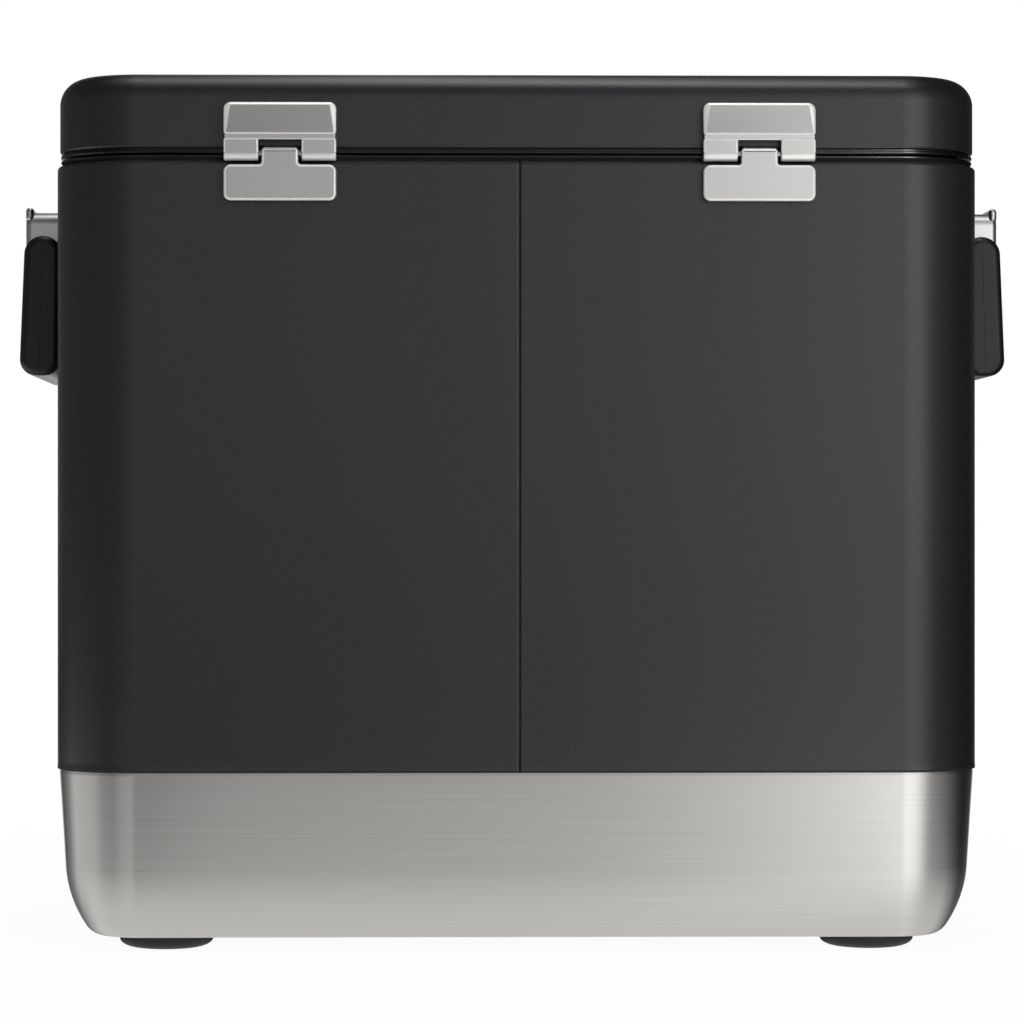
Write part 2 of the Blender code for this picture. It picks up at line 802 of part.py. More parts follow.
def make_hinge(side_name, across):
    """Two pressed stainless leaves and a pin; weld studs hold them to the body and the lid."""
    plate_top = pin_height - lower_leaf_drop
    plate_low = plate_top - lower_leaf_height
    plate, pocket = dished_plate(
        "back", across, plate_low, plate_top, hinge_width, gap, hinge_proud, 0
    )
    lower = add(f"hinge_lower_leaf_{side_name}", plate, steel)
    boolean(lower, tool(f"lower_pocket_{side_name}", pocket), "DIFFERENCE")
    tongue_profile = curled_leaf(pin_out, pin_height, plate_top - fitting_sheet)
    low = across - tongue_width / 2
    tongue = face_prism("back", tongue_profile, low, low + tongue_width)
    boolean(lower, tool(f"tongue_{side_name}", tongue), "UNION")
    studs = []
    stud_out = hinge_proud - fitting_sheet / 2
    for x in (across - stud_spacing / 2, across + stud_spacing / 2):
        studs.append(face_stud("back", x, lower_stud_height, stud_out, stud_depth))
    boolean(lower, tool(f"lower_studs_{side_name}", group(studs)), "UNION")
    bore = pin_hole("back", pin_out, pin_height, pin_radius + gap, across, hinge_width)
    bore_tool = tool(f"hinge_bore_{side_name}", bore)
    boolean(lower, bore_tool, "DIFFERENCE")

    panel_low = pin_height + upper_leaf_rise
    panel_top = panel_low + upper_leaf_height
    panel, hollow = dished_plate(
        "back", across, panel_low, panel_top, hinge_width, gap - lid_inset, panel_proud,
        upper_panel_bevel
    )
    upper = add(f"hinge_upper_leaf_{side_name}", panel, steel, lid_axis)
    boolean(upper, tool(f"upper_pocket_{side_name}", hollow), "DIFFERENCE")
    knuckle_profile = curled_leaf(pin_out, pin_height, panel_low + fitting_sheet)
    knuckles = []
    knuckle_width = (hinge_width - notch_width) / 2
    for low in (across + notch_width / 2, across - hinge_width / 2):
        knuckles.append(face_prism("back", knuckle_profile, low, low + knuckle_width))
    boolean(upper, tool(f"knuckles_{side_name}", group(knuckles)), "UNION")
    studs = []
    depth = lid_inset + stud_depth
    stud_out = panel_proud - fitting_sheet / 2
    for x in (across - stud_spacing / 2, across + stud_spacing / 2):
        studs.append(face_stud("back", x, upper_stud_height, stud_out, depth))
    boolean(upper, tool(f"upper_studs_{side_name}", group(studs)), "UNION")
    boolean(upper, bore_tool, "DIFFERENCE")

    pin = pin_hole("back", pin_out, pin_height, pin_radius, across, hinge_width / 2 - gap)
    add(f"hinge_pin_{side_name}", pin, steel)


def backing_box(side, across, z, sheet_inset, spacing, clearance=0):
    """A flat bar inside a sheet that two studs pass through, or its pocket in the foam."""
    start = -sheet_inset - skin_sheet - gap
    end = start - backing_sheet - clearance
    if clearance:
        start, end = 0, end - gap * 2
    half_v = backing_height / 2 + clearance
    half_across = spacing / 2 + backing_margin + clearance
    profile = [(end, z - half_v), (start, z - half_v), (start, z + half_v), (end, z + half_v)]
    return face_prism(side, profile, across - half_across, across + half_across)


def backing_plate(name, side, across, z, sheet_inset, spacing, origin):
    """A tapped backing bar that spreads a hinge's or latch's load over the sheet and the foam."""
    plate = add(name, backing_box(side, across, z, sheet_inset, spacing), steel, origin)
    holes = []
    for shift in (-spacing / 2, spacing / 2):
        depth = sheet_inset + skin_sheet + backing_sheet + cut_overrun
        holes.append(face_hole(side, across + shift, z, stud_radius + gap, 0, depth))
    boolean(plate, tool(f"{name}_holes", group(holes)), "DIFFERENCE")


def make_backing_plates():
    """Bars inside the wall and inside the lid that hold the hinges and the latch."""
    body = Vector((0, 0, 0))
    inset = lid_inset
    for side_name, x in zip(("right", "left"), hinge_centres()):
        name = f"hinge_backing_body_{side_name}"
        backing_plate(name, "back", x, lower_stud_height, 0, stud_spacing, body)
        name = f"hinge_backing_lid_{side_name}"
        backing_plate(name, "back", x, upper_stud_height, inset, stud_spacing, lid_axis)
    name = "latch_backing"
    backing_plate(name, "front", 0, latch_stud_height, inset, latch_stud_spacing, lid_axis)


def rivet(side, across, z, plate_u):
    """A set rivet: domed head on a plate, shank through the wrap, tail inside."""
    head = plate_u + gap
    tail = -skin_sheet - gap
    profile = [
        (rivet_radius * 1.5, tail - rivet_head_height),
        (rivet_radius * 1.5, tail),
        (rivet_radius, tail),
        (rivet_radius, head),
        (rivet_head_radius, head),
        (rivet_head_radius * 0.8, head + rivet_head_height * 0.7),
        (rivet_head_radius * 0.3, head + rivet_head_height),
    ]
    place = Matrix.Translation(along_face(side, 0, across, z)) @ facing(side)
    return moved(turned(profile, hole_sides), place)


def make_bracket(side):
    """Pressed stainless bracket: back plate, beaded hood, two ears for the rod, lower lip."""
    half_hood = handle_length / 2 - grip_arm_width - gap
    plate_out = gap + bracket_sheet
    z_low = bracket_bottom
    plate_profile = rounded(-half_hood, z_low, half_hood, bracket_top - hood_bend, bracket_corner)
    rings = [[along_face(side, out, y, z) for y, z in plate_profile] for out in (gap, plate_out)]
    bracket = add(f"handle_bracket_{side}", loft(rings), steel)

    hood_low = bracket_top - hood_drop
    bend_v = bracket_top - hood_bend
    edge = fitting_edge_round
    hood = []
    for inset, height in [(0, hood_low)] + arc(hood_bend, bend_v, hood_bend, 180, 90, 3):
        ring = []
        half = half_hood - inset
        for y, out in rounded(-half, gap, half, bracket_reach, edge, 2):
            ring.append(along_face(side, out, y, height))
        hood.append(ring)
    boolean(bracket, tool(f"hood_{side}", loft(hood)), "UNION")

    lip_profile = [(gap, z_low), (lip_reach, z_low - bracket_sheet), (lip_reach, z_low)]
    lip_profile += [(plate_out, z_low + bracket_sheet * 2), (gap, z_low + bracket_sheet * 2)]
    half_lip = half_hood * lip_width_share
    lip = face_prism(side, lip_profile, -half_lip, half_lip)
    boolean(bracket, tool(f"lip_{side}", lip), "UNION")

    ears = []
    ear_profile = [(gap, hood_low + bracket_sheet), (gap, handle_pivot_height - ear_radius)]
    ear_profile += arc(handle_pivot_out, handle_pivot_height, ear_radius, 270, 360, 4)
    ear_profile += [(handle_pivot_out + ear_radius, hood_low + bracket_sheet)]
    for low in (half_hood - bracket_sheet, -half_hood):
        ears.append(face_prism(side, ear_profile, low, low + bracket_sheet))
    boolean(bracket, tool(f"ears_{side}", group(ears)), "UNION")

    bead_v = bracket_top - bead_radius + bead_rise
    bead_profile = arc(bracket_reach - bead_radius, bead_v, bead_radius, 0, 180, 6)
    bead_profile += [(bracket_reach - bead_radius * 2, bend_v), (bracket_reach, bend_v)]
    bead = face_prism(side, bead_profile, hood_bend - half_hood, half_hood - hood_bend)
    boolean(bracket, tool(f"bead_{side}", bead), "UNION")

    inner = []
    reach = bracket_reach - bracket_sheet
    curve = arc(hood_bend, bend_v, hood_bend - bracket_sheet, 180, 90, 2)
    for inset, height in [(bracket_sheet, hood_low - cut_overrun)] + curve:
        ring = []
        half = half_hood - inset
        for y, out in rounded(-half, plate_out, half, reach, edge / 2, 2):
            ring.append(along_face(side, out, y, height))
        inner.append(ring)
    boolean(bracket, tool(f"hood_hollow_{side}", loft(inner)), "DIFFERENCE")

    holes = [moved(rod(rod_radius + gap, -handle_length, handle_length), rod_place(side))]
    out = plate_out + cut_overrun
    for y, z in handle_rivet_places():
        holes.append(face_hole(side, y, z, rivet_radius + gap, out, cut_overrun))
    boolean(bracket, tool(f"bracket_holes_{side}", group(holes)), "DIFFERENCE")
    for number, (y, z) in enumerate(handle_rivet_places(), 1):
        add(f"bracket_rivet_{side}_{number}", rivet(side, y, z, plate_out), steel)


def rod_place(side):
    """Lays +Z along the handle's pivot."""
    pivot = along_face(side, handle_pivot_out, 0, handle_pivot_height)
    return Matrix.Translation(pivot) @ facing("back")


def grip_section(shrink):
    """The grip seen end on, as (out, height) about its pivot, taken in by shrink."""
    top = grip_thickness / 2 - shrink
    low = grip_thickness / 2 + grip_growth - shrink
    bottom = -grip_drop + shrink
    corner = grip_bottom_round - shrink
    points = arc(0, 0, top, 0, 180, 7)
    points += arc(-low + corner, bottom + corner, corner, 180, 270, 3)
    points += arc(low - corner, bottom + corner, corner, 270, 360, 3)
    return points


def grip_arm(sign):
    """One arm of the grip, with soft edges all round."""
    outer = handle_length / 2
    inner = outer - grip_arm_width
    sections = []
    for end, step in ((inner, -1), (outer, 1)):
        angles = (90, 45, 0) if step < 0 else (0, 45, 90)
        for angle in angles:
            shrink = grip_edge_round * (1 - math.cos(math.radians(angle)))
            y = end - step * grip_edge_round * (1 - math.sin(math.radians(angle)))
            sections.append([Vector((u, sign * y, v)) for u, v in grip_section(shrink)])
    return loft(sections)


def grip_bar():
    """The hand bar between the arms."""
    half = grip_thickness / 2 + grip_growth
    reach = handle_length / 2 - grip_arm_width / 2
    top = grip_bar_height - grip_drop
    profile = rounded(-half, -grip_drop, half, top, grip_bottom_round, 3)
    return prism(profile, along_y, -reach, reach)


def core_strap(clearance):
    """The steel strap inside the grip, bent to a U, or its pocket."""
    middle = handle_length / 2 - grip_arm_width / 2
    half_sheet = core_sheet / 2 + clearance
    bottom = -grip_drop + grip_bar_height / 2
    top = core_top + clearance
    outer_bend = core_bend + half_sheet
    inner_bend = core_bend - half_sheet
    centre_y = middle - core_bend
    centre_z = bottom + core_bend
    outer = [(middle + half_sheet, top)] + arc(centre_y, centre_z, outer_bend, 0, -90, 3)
    outer += arc(-centre_y, centre_z, outer_bend, 270, 180, 3) + [(-middle - half_sheet, top)]
    inner = [(-middle + half_sheet, top)] + arc(-centre_y, centre_z, inner_bend, 180, 270, 3)
    inner += arc(centre_y, centre_z, inner_bend, -90, 0, 3) + [(middle - half_sheet, top)]
    half_width_x = core_width / 2 + clearance
    return prism(outer + inner, along_x, -half_width_x, half_width_x)


def make_handle(side):
    """Two moulded grip halves round a steel strap that turns on the bracket's rod."""
    sign = 1 if side == "right" else -1
    pivot = along_face(side, handle_pivot_out, 0, handle_pivot_height)
    lean = Matrix.Rotation(math.radians(-grip_splay * sign), 4, "Y")
    place = Matrix.Translation(pivot) @ lean
    if sign < 0:
        place = place @ Matrix.Rotation(math.pi, 4, "Z")
    rod_half = handle_length / 2 - rod_end_cover - gap

    slot = tool(f"grip_slot_{side}", moved(core_strap(gap), place))
    clear = rod(rod_radius + gap, -rod_half - gap, rod_half + gap)
    bore = tool(f"grip_bore_{side}", moved(clear, rod_place(side)))
    bar = tool(f"grip_bar_{side}", moved(grip_bar(), place))
    far_arm = tool(f"grip_arm_{side}", moved(grip_arm(-1), place))
    reach = handle_length
    halves = (("outer", -reach, grip_split / 2), ("inner", -grip_split / 2, reach))
    for half_name, low, high in halves:
        grip = add(f"grip_{half_name}_{side}", moved(grip_arm(1), place), grip_rubber, pivot)
        boolean(grip, far_arm, "UNION")
        boolean(grip, bar, "UNION")
        rest = box((low, -reach, -reach), (high, reach, reach))
        boolean(grip, tool(f"grip_cut_{half_name}_{side}", moved(rest, place)), "DIFFERENCE")
        boolean(grip, slot, "DIFFERENCE")
        boolean(grip, bore, "DIFFERENCE")
    core = add(f"handle_core_{side}", moved(core_strap(0), place), steel, pivot)
    through = moved(rod(rod_radius + gap, -handle_length, handle_length), rod_place(side))
    boolean(core, tool(f"core_hole_{side}", through), "DIFFERENCE")
    pivot_rod = moved(rod(rod_radius, -rod_half, rod_half), rod_place(side))
    add(f"handle_rod_{side}", pivot_rod, steel)


def make_latch():
    """Front catch: a plate with two knuckles on the lid and a lever that hangs from its pin."""
    pin_v = latch_pin_height
    face_u = latch_pin_out + barrel_radius + upper_panel_step
    plate_low = pin_v + barrel_radius
    plate, hollow = dished_plate(
        "front", 0, plate_low, plate_low + latch_plate_height - barrel_radius, latch_width,
        gap - lid_inset, face_u, upper_panel_bevel
    )
    catch = add("latch_plate", plate, steel, lid_axis)
    boolean(catch, tool("latch_hollow", hollow), "DIFFERENCE")
    profile = curled_leaf(latch_pin_out, pin_v, plate_low + fitting_sheet)
    knuckles = []
    for low in (notch_width / 2, -latch_width / 2):
        high = low + (latch_width - notch_width) / 2
        knuckles.append(face_prism("front", profile, low, high))
    boolean(catch, tool("latch_knuckles", group(knuckles)), "UNION")
    studs = []
    stud_out = face_u - fitting_sheet / 2
    for x in latch_stud_places():
        studs.append(face_stud("front", x, latch_stud_height, stud_out, lid_inset + stud_depth))
    boolean(catch, tool("latch_studs", group(studs)), "UNION")
    clear = pin_hole("front", latch_pin_out, pin_v, pin_radius + gap, 0, latch_width)
    bore = tool("latch_bore", clear)
    boolean(catch, bore, "DIFFERENCE")
    pin = pin_hole("front", latch_pin_out, pin_v, pin_radius, 0, latch_width / 2 - gap)
    add("latch_pin", pin, steel, lid_axis)

    axis = along_face("front", latch_pin_out, 0, pin_v)
    outer_u = latch_pin_out + barrel_radius
    inner_u = outer_u - fitting_sheet
    lever_low = pin_v - latch_lever_length
    tab_v = lever_low + latch_tab_length
    shoulder_v = pin_v - barrel_radius - fitting_edge_round
    tongue_profile = curled_leaf(latch_pin_out, pin_v, shoulder_v - fitting_sheet)
    tongue = face_prism("front", tongue_profile, -tongue_width / 2, tongue_width / 2)
    lever = add("latch_lever", tongue, steel, axis)
    blade_profile = [(inner_u, shoulder_v), (inner_u, tab_v)]
    blade_profile += [(latch_reach - fitting_sheet, lever_low)]
    blade_profile += [(latch_reach, lever_low + fitting_sheet / 2)]
    blade_profile += [(outer_u, tab_v + fitting_sheet / 2), (outer_u, shoulder_v)]
    blade = face_prism("front", blade_profile, -latch_lever_width / 2, latch_lever_width / 2)
    boolean(lever, tool("latch_blade", blade), "UNION")
    tooth_top = pin_v - latch_tooth_drop
    tooth_profile = [(latch_tooth_out, tooth_top), (inner_u + fitting_sheet / 2, tooth_top)]
    tooth_profile += [(inner_u + fitting_sheet / 2, tooth_top - latch_tooth_height * 1.6)]
    tooth_profile += [(latch_tooth_out, tooth_top - latch_tooth_height)]
    tooth = face_prism("front", tooth_profile, -latch_tooth_width / 2, latch_tooth_width / 2)
    boolean(lever, tool("latch_tooth", tooth), "UNION")
    boolean(lever, bore, "DIFFERENCE")


def make_keeper():
    """Strike on the body's front: a plate with a ridge that the lever's tooth goes under."""
    top = wrap_top - keeper_ridge_below_rim + keeper_ridge_height
    ridge_low = top - keeper_ridge_height
    low = top - keeper_height
    face = gap + keeper_sheet
    soft = keeper_sheet / 2
    profile = [
        (gap, low),
        (face - soft, low),
        (face, low + soft),
        (face, ridge_low),
        (keeper_ridge_reach, ridge_low),
        (keeper_ridge_reach, ridge_low + keeper_ridge_height / 2),
        (face, top),
        (gap, top),
    ]
    plate = face_prism("front", profile, -keeper_width / 2, keeper_width / 2)
    keeper = add("latch_keeper", plate, steel)
    holes = []
    out = face + cut_overrun
    bore = rivet_radius + gap
    for x in keeper_rivet_places():
        holes.append(face_hole("front", x, keeper_rivet_height, bore, out, cut_overrun))
    boolean(keeper, tool("keeper_holes", group(holes)), "DIFFERENCE")
    for number, x in enumerate(keeper_rivet_places(), 1):
        add(f"keeper_rivet_{number}", rivet("front", x, keeper_rivet_height, face), steel)


def drain_inset():
    """How far in the pan's face lies at the drain's height."""
    return pan_face_inset + (wrap_bottom - drain_height) * math.tan(math.radians(pan_draft))


def drain_place():
    """The drain's seat on the pan's sloping front; +Z points out along the drain."""
    seat = Vector((-half_width + drain_from_side, -half_depth + drain_inset(), drain_height))
    return Matrix.Translation(seat) @ Matrix.Rotation(math.radians(90 + pan_draft), 4, "X")


def drain_hole(radius, low, high):
    return moved(rod(radius, low, high), drain_place())


def make_drain():
    """Drain: flanged tube through the wall, washer, nut, and a cap that flips up on a small pin."""
    lean = math.tan(math.radians(pan_draft))
    level = tub_inset(drain_height) - drain_inset()
    inner = tub_inset(drain_height + level * lean)
    wall = (inner - drain_inset()) / math.cos(math.radians(pan_draft))
    tilt = math.tan(math.radians(pan_draft - tub_draft)) * drain_flange_radius
    seat = -wall - gap - tilt
    washer_back = seat - drain_washer
    flange = washer_back - gap
    end = drain_nut + drain_spout_reach
    tube = [
        (drain_bore_radius, flange - drain_flange),
        (drain_flange_radius, flange - drain_flange),
        (drain_flange_radius, flange),
        (drain_tube_radius, flange),
        (drain_tube_radius, end),
        (drain_bore_radius, end),
    ]
    place = drain_place()
    spout = turned(tube, drain_sides, closed_profile=True)
    add("drain_spout", moved(spout, place), black_plastic)
    bore = drain_tube_radius + gap
    ring = [(bore, washer_back), (drain_flange_radius, washer_back)]
    ring += [(drain_flange_radius, seat), (bore, seat)]
    washer = turned(ring, drain_sides, closed_profile=True)
    add("drain_washer", moved(washer, place), rubber)
    chamfer = drain_nut / 5
    nut = [
        (bore, gap),
        (drain_nut_radius, gap),
        (drain_nut_radius, drain_nut - chamfer),
        (drain_nut_radius - chamfer, drain_nut),
        (bore, drain_nut),
    ]
    collar_nut = turned(nut, drain_sides, closed_profile=True)
    body = add("drain_nut", moved(collar_nut, place), black_plastic)

    pin_y = drain_cap_radius + drain_pin_radius * 2
    pin_z = end + gap + drain_cap / 2
    eye = drain_pin_radius * 2.2
    lug_half = drain_cap_radius / 3
    arm_profile = arc(pin_y, pin_z, eye, -90, 180, 9)
    arm_profile += [(pin_y - eye, chamfer), (pin_y + eye / 2, chamfer)]
    arms = []
    for low in (-lug_half - drain_cap, lug_half):
        arms.append(moved(prism(arm_profile, along_x, low, low + drain_cap), place))
    hinge_arms = tool("drain_arms", group(arms))
    boolean(body, hinge_arms, "UNION")
    turn = place @ Matrix.Translation((0, pin_y, pin_z)) @ facing("right")
    pin_half = lug_half + drain_cap
    hole_half = pin_half + cut_overrun
    clear = moved(rod(drain_pin_radius + gap, -hole_half, hole_half), turn)
    hole = tool("drain_pin_hole", clear)
    boolean(body, hole, "DIFFERENCE")
    axis = place @ Vector((0, pin_y, pin_z))
    cap_pin = moved(rod(drain_pin_radius, -pin_half, pin_half), turn)
    add("drain_cap_pin", cap_pin, steel, axis)

    plug = drain_bore_radius - gap
    cap_profile = [
        (plug * 0.8, end - drain_plug_length),
        (plug, end - drain_plug_length * 0.8),
        (plug, end + gap),
        (drain_cap_radius, end + gap),
        (drain_cap_radius, end + gap + drain_cap * 0.7),
        (drain_cap_radius - drain_cap * 0.3, end + gap + drain_cap),
    ]
    cap = add("drain_cap", moved(turned(cap_profile, drain_sides), place), black_plastic, axis)
    ear_radius_small = drain_cap / 2 - gap
    ear_profile = arc(pin_y, pin_z, drain_pin_radius * 2, -90, 90, 6)
    ear_profile += [(0, pin_z + ear_radius_small), (0, pin_z - ear_radius_small)]
    ear = prism(ear_profile, along_x, -lug_half + gap, lug_half - gap)
    boolean(cap, tool("drain_cap_ear", moved(ear, place)), "UNION")
    boolean(cap, hole, "DIFFERENCE")


clear_scene()
cooler = bpy.data.objects.new("cooler", None)
bpy.context.scene.collection.objects.link(cooler)
cooler.location = (0, body_shift, 0)

lid_axis = along_face("back", pin_out, 0, pin_height)
lower_stud_height = pin_height - lower_leaf_drop - lower_leaf_height / 2
upper_stud_height = pin_height + upper_leaf_rise + upper_leaf_height / 2
latch_stud_height = latch_pin_height + (latch_plate_height + barrel_radius) / 2
keeper_rivet_height = wrap_top - keeper_ridge_below_rim - keeper_height / 2
stud_depth = skin_sheet + gap + backing_sheet + gap
foot_screw_top = pan_bottom + pan_sheet + foot_nut_height + foot_screw_radius

black_steel = paint("powder coated steel", (0.036, 0.038, 0.041), 0.55, 0)
steel = paint("brushed stainless steel", (0.60, 0.59, 0.58), 0.32, 1)
gloss_black = paint("glossy black plastic", (0.012, 0.012, 0.013), 0.2, 0)
black_plastic = paint("black plastic", (0.02, 0.02, 0.021), 0.5, 0)
grey_plastic = paint("pale grey plastic", (0.62, 0.63, 0.64), 0.45, 0)
rubber = paint("black rubber", (0.015, 0.015, 0.015), 0.8, 0)
grip_rubber = paint("black moulded grip", (0.016, 0.017, 0.018), 0.6, 0)
foam_yellow = paint("insulating foam", (0.75, 0.62, 0.36), 0.9, 0)

make_base_pan()
make_body_wrap()
make_seam_strip()
make_collar()
make_liner_tub()
make_body_foam()
make_feet()
make_lid_shell()
make_lid_liner()
make_lid_foam()
make_lid_gasket()
make_hinge("right", hinge_spacing / 2)
make_hinge("left", -hinge_spacing / 2)
make_backing_plates()
for handle_side in ("right", "left"):
    make_bracket(handle_side)
    make_handle(handle_side)
make_latch()
make_keeper()
make_drain()
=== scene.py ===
"""Looks of a steel hard cooler, seen from behind: two stainless hinges, a black powder coated
body and lid, a bare stainless base pan, swing handles and rubber feet.

Sizes are in millimetres and turned to metres where a mesh is made. +Y is the hinged back.
"""
import math

import bmesh
import bpy
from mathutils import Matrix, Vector


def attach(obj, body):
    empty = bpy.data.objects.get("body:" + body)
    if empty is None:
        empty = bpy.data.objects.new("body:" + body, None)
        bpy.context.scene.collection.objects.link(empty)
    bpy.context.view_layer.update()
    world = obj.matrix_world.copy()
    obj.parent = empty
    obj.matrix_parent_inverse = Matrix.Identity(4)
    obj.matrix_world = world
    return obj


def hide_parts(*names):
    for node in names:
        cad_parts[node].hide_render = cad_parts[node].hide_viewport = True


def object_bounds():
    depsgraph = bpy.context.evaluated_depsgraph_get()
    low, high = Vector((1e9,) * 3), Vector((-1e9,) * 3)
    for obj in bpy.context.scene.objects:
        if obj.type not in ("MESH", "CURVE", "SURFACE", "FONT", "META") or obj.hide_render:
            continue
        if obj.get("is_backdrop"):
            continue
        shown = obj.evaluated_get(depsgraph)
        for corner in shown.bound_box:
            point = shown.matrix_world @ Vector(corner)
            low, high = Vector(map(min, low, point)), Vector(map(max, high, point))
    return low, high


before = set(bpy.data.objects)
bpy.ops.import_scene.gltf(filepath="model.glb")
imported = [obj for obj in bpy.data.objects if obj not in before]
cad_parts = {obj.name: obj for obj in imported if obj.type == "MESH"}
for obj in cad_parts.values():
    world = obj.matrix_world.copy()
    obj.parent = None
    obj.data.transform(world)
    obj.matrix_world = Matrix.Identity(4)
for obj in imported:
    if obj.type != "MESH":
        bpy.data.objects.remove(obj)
cad_low, cad_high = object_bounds()


# Base pan: a deep drawn tray of 1 mm 304 stainless under the painted body. It was drawn,
# then belt brushed round the sides, so fine level lines run along it. It laps up inside
# the wrap, and its corners sweep in to a small toe above the feet.
body_half_width = 255.5
body_half_depth = 182.5
body_centre_y = 6.5
body_corner = 46.0
corner_steps = 16
wrap_bottom = 99.3
pan_bottom = 6.8
pan_inset = 1.1
pan_sheet = 1.0
pan_lap = 12.0
pan_draft = 3.5
pan_sweep = 68.0
pan_toe = 12.2
pan_toe_angle = 34.0
pan_toe_steps, pan_sweep_steps = 8, 14
pan_rim_round = 1.1
pan_rim_turn = ((0.093, -1.2), (0.14, 0.0), (0.34, 0.8))
pan_lap_inset = 0.45
pan_inner_turn = 0.4


def arc(centre_u, centre_v, radius, start, end, steps):
    """Points on an arc, angles in degrees from +u towards +v."""
    points = []
    for step in range(steps + 1):
        angle = math.radians(start + (end - start) * step / steps)
        points.append((centre_u + radius * math.cos(angle), centre_v + radius * math.sin(angle)))
    return points


def plan_ring(inset, z, corner=None, seam=()):
    """A level ring set in from the body's face. A seam opens it at the middle of the back and
    lists (half width, extra inset) from the cut edge outwards."""
    half_x = body_half_width - inset
    half_y = body_half_depth - inset
    radius = (body_corner if corner is None else corner) - inset
    ring = [(-x, body_centre_y + half_y - extra, z) for x, extra in seam]
    for side_x, side_y, start in ((-1, 1, 90), (-1, -1, 180), (1, -1, 270), (1, 1, 0)):
        centre_x = side_x * (half_x - radius)
        centre_y = body_centre_y + side_y * (half_y - radius)
        turn = arc(centre_x, centre_y, radius, start, start + 90, corner_steps)
        ring += [(x, y, z) for x, y in turn]
    return ring + [(x, body_centre_y + half_y - extra, z) for x, extra in reversed(seam)]


def loft(rings, closed=False, open_path=False, rims=()):
    """Skins rings of equal count into one closed shell: capped at both ends, closed on
    itself, or with end faces along an open path. Rims are the bands of its second material, a painted
    highlight."""
    skin = bmesh.new()
    rows = [[skin.verts.new(Vector(point) / 1000) for point in ring] for ring in rings]
    pairs = list(zip(rows, rows[1:])) + ([(rows[-1], rows[0])] if closed else [])
    count = len(rows[0])
    for band, (low, high) in enumerate(pairs):
        for index in range(count - 1 if open_path else count):
            after = (index + 1) % count
            face = skin.faces.new((low[index], low[after], high[after], high[index]))
            face.material_index = int(band in rims)
    if open_path:
        skin.faces.new([row[0] for row in rows])
        skin.faces.new([row[-1] for row in rows])
    elif not closed:
        skin.faces.new(list(reversed(rows[0])))
        skin.faces.new(rows[-1])
    return skin


def add_piece(name, skins, body, material, stands_for=(), crease=40, rim=None):
    """Makes one object of closed skins that rides on a CAD body and stands for CAD nodes.
    A rim is its second material, a painted highlight on its rounded edges."""
    whole = bmesh.new()
    for skin in skins:
        bmesh.ops.recalc_face_normals(skin, faces=skin.faces)
        part = bpy.data.meshes.new("part")
        skin.to_mesh(part)
        skin.free()
        whole.from_mesh(part)
        bpy.data.meshes.remove(part)
    mesh = bpy.data.meshes.new(name)
    whole.to_mesh(mesh)
    whole.free()
    mesh.shade_smooth()
    mesh.set_sharp_from_angle(angle=math.radians(crease))
    mesh.materials.append(material)
    if rim:
        mesh.materials.append(rim)
    piece = bpy.data.objects.new(name, mesh)
    bpy.context.scene.collection.objects.link(piece)
    flat = piece.modifiers.new("flat faces stay flat", "WEIGHTED_NORMAL")
    flat.keep_sharp = True
    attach(piece, body)
    if stands_for:
        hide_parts(*stands_for)
    return piece


def linear(colour):
    """An sRGB hex colour as linear RGBA."""
    shares = [int(colour[place:place + 2], 16) / 255 for place in (1, 3, 5)]
    return [s / 12.92 if s <= 0.04045 else ((s + 0.055) / 1.055) ** 2.4 for s in shares] + [1]


def node(material, kind, settings, links=None):
    """Adds a node, with values by socket or by property and links by socket."""
    tree = material.node_tree
    made = tree.nodes.new(kind)
    for key, value in settings.items():
        if isinstance(key, int) or key in made.inputs:
            made.inputs[key].default_value = value
        else:
            setattr(made, key, value)
    for key, source in (links or {}).items():
        tree.links.new(source, made.inputs[key])
    return made


def new_material(name):
    """An empty node material and its output."""
    material = bpy.data.materials.new(name)
    material.use_nodes = True
    material.node_tree.nodes.clear()
    return material, node(material, "ShaderNodeOutputMaterial", {})


def brushed_stainless(name, colours, roughness, line, length, stretched):
    """Brushed 304 stainless. Level scratches, a line wide and so long in millimetres, vary its
    colour and roughness. They are drawn coarser than the real 0.1 mm so that they show, and
    stretch each highlight across the brushing."""
    material, output = new_material(name)
    place = node(material, "ShaderNodeTexCoord", {})
    stretch = node(material, "ShaderNodeMapping", {
        "Scale": (1000 / length, 1000 / length, 1000 / line),
    }, {"Vector": place.outputs["Object"]})
    lines = node(material, "ShaderNodeTexNoise", {
        "Scale": 1, "Detail": 3, "Roughness": 0.65,
    }, {"Vector": stretch.outputs["Vector"]})
    tone = node(material, "ShaderNodeMix", {
        "data_type": "RGBA", 6: linear(colours[0]), 7: linear(colours[1]),
    }, {0: lines.outputs["Fac"]})
    satin = node(material, "ShaderNodeMapRange", {
        "From Min": 0.3, "From Max": 0.7, "To Min": roughness[0], "To Max": roughness[1],
    }, {"Value": lines.outputs["Fac"]})
    scratch = node(material, "ShaderNodeBump", {
        "Strength": 0.25, "Distance": 0.00002,
    }, {"Height": lines.outputs["Fac"]})
    level = node(material, "ShaderNodeTangent", {"direction_type": "RADIAL", "axis": "Z"})
    steel = node(material, "ShaderNodeBsdfPrincipled", {
        "Metallic": 1, "Anisotropic": stretched, "Anisotropic Rotation": 0.25,
    }, {
        "Base Color": tone.outputs[2], "Roughness": satin.outputs["Result"],
        "Normal": scratch.outputs["Normal"], "Tangent": level.outputs["Tangent"],
    })
    material.node_tree.links.new(steel.outputs["BSDF"], output.inputs["Surface"])
    return material


pan_steel = brushed_stainless("brushed 304 stainless pan", ("#bab8b5", "#d6d4d1"),
                              roughness=(0.27, 0.33), line=0.9, length=140, stretched=0.97)


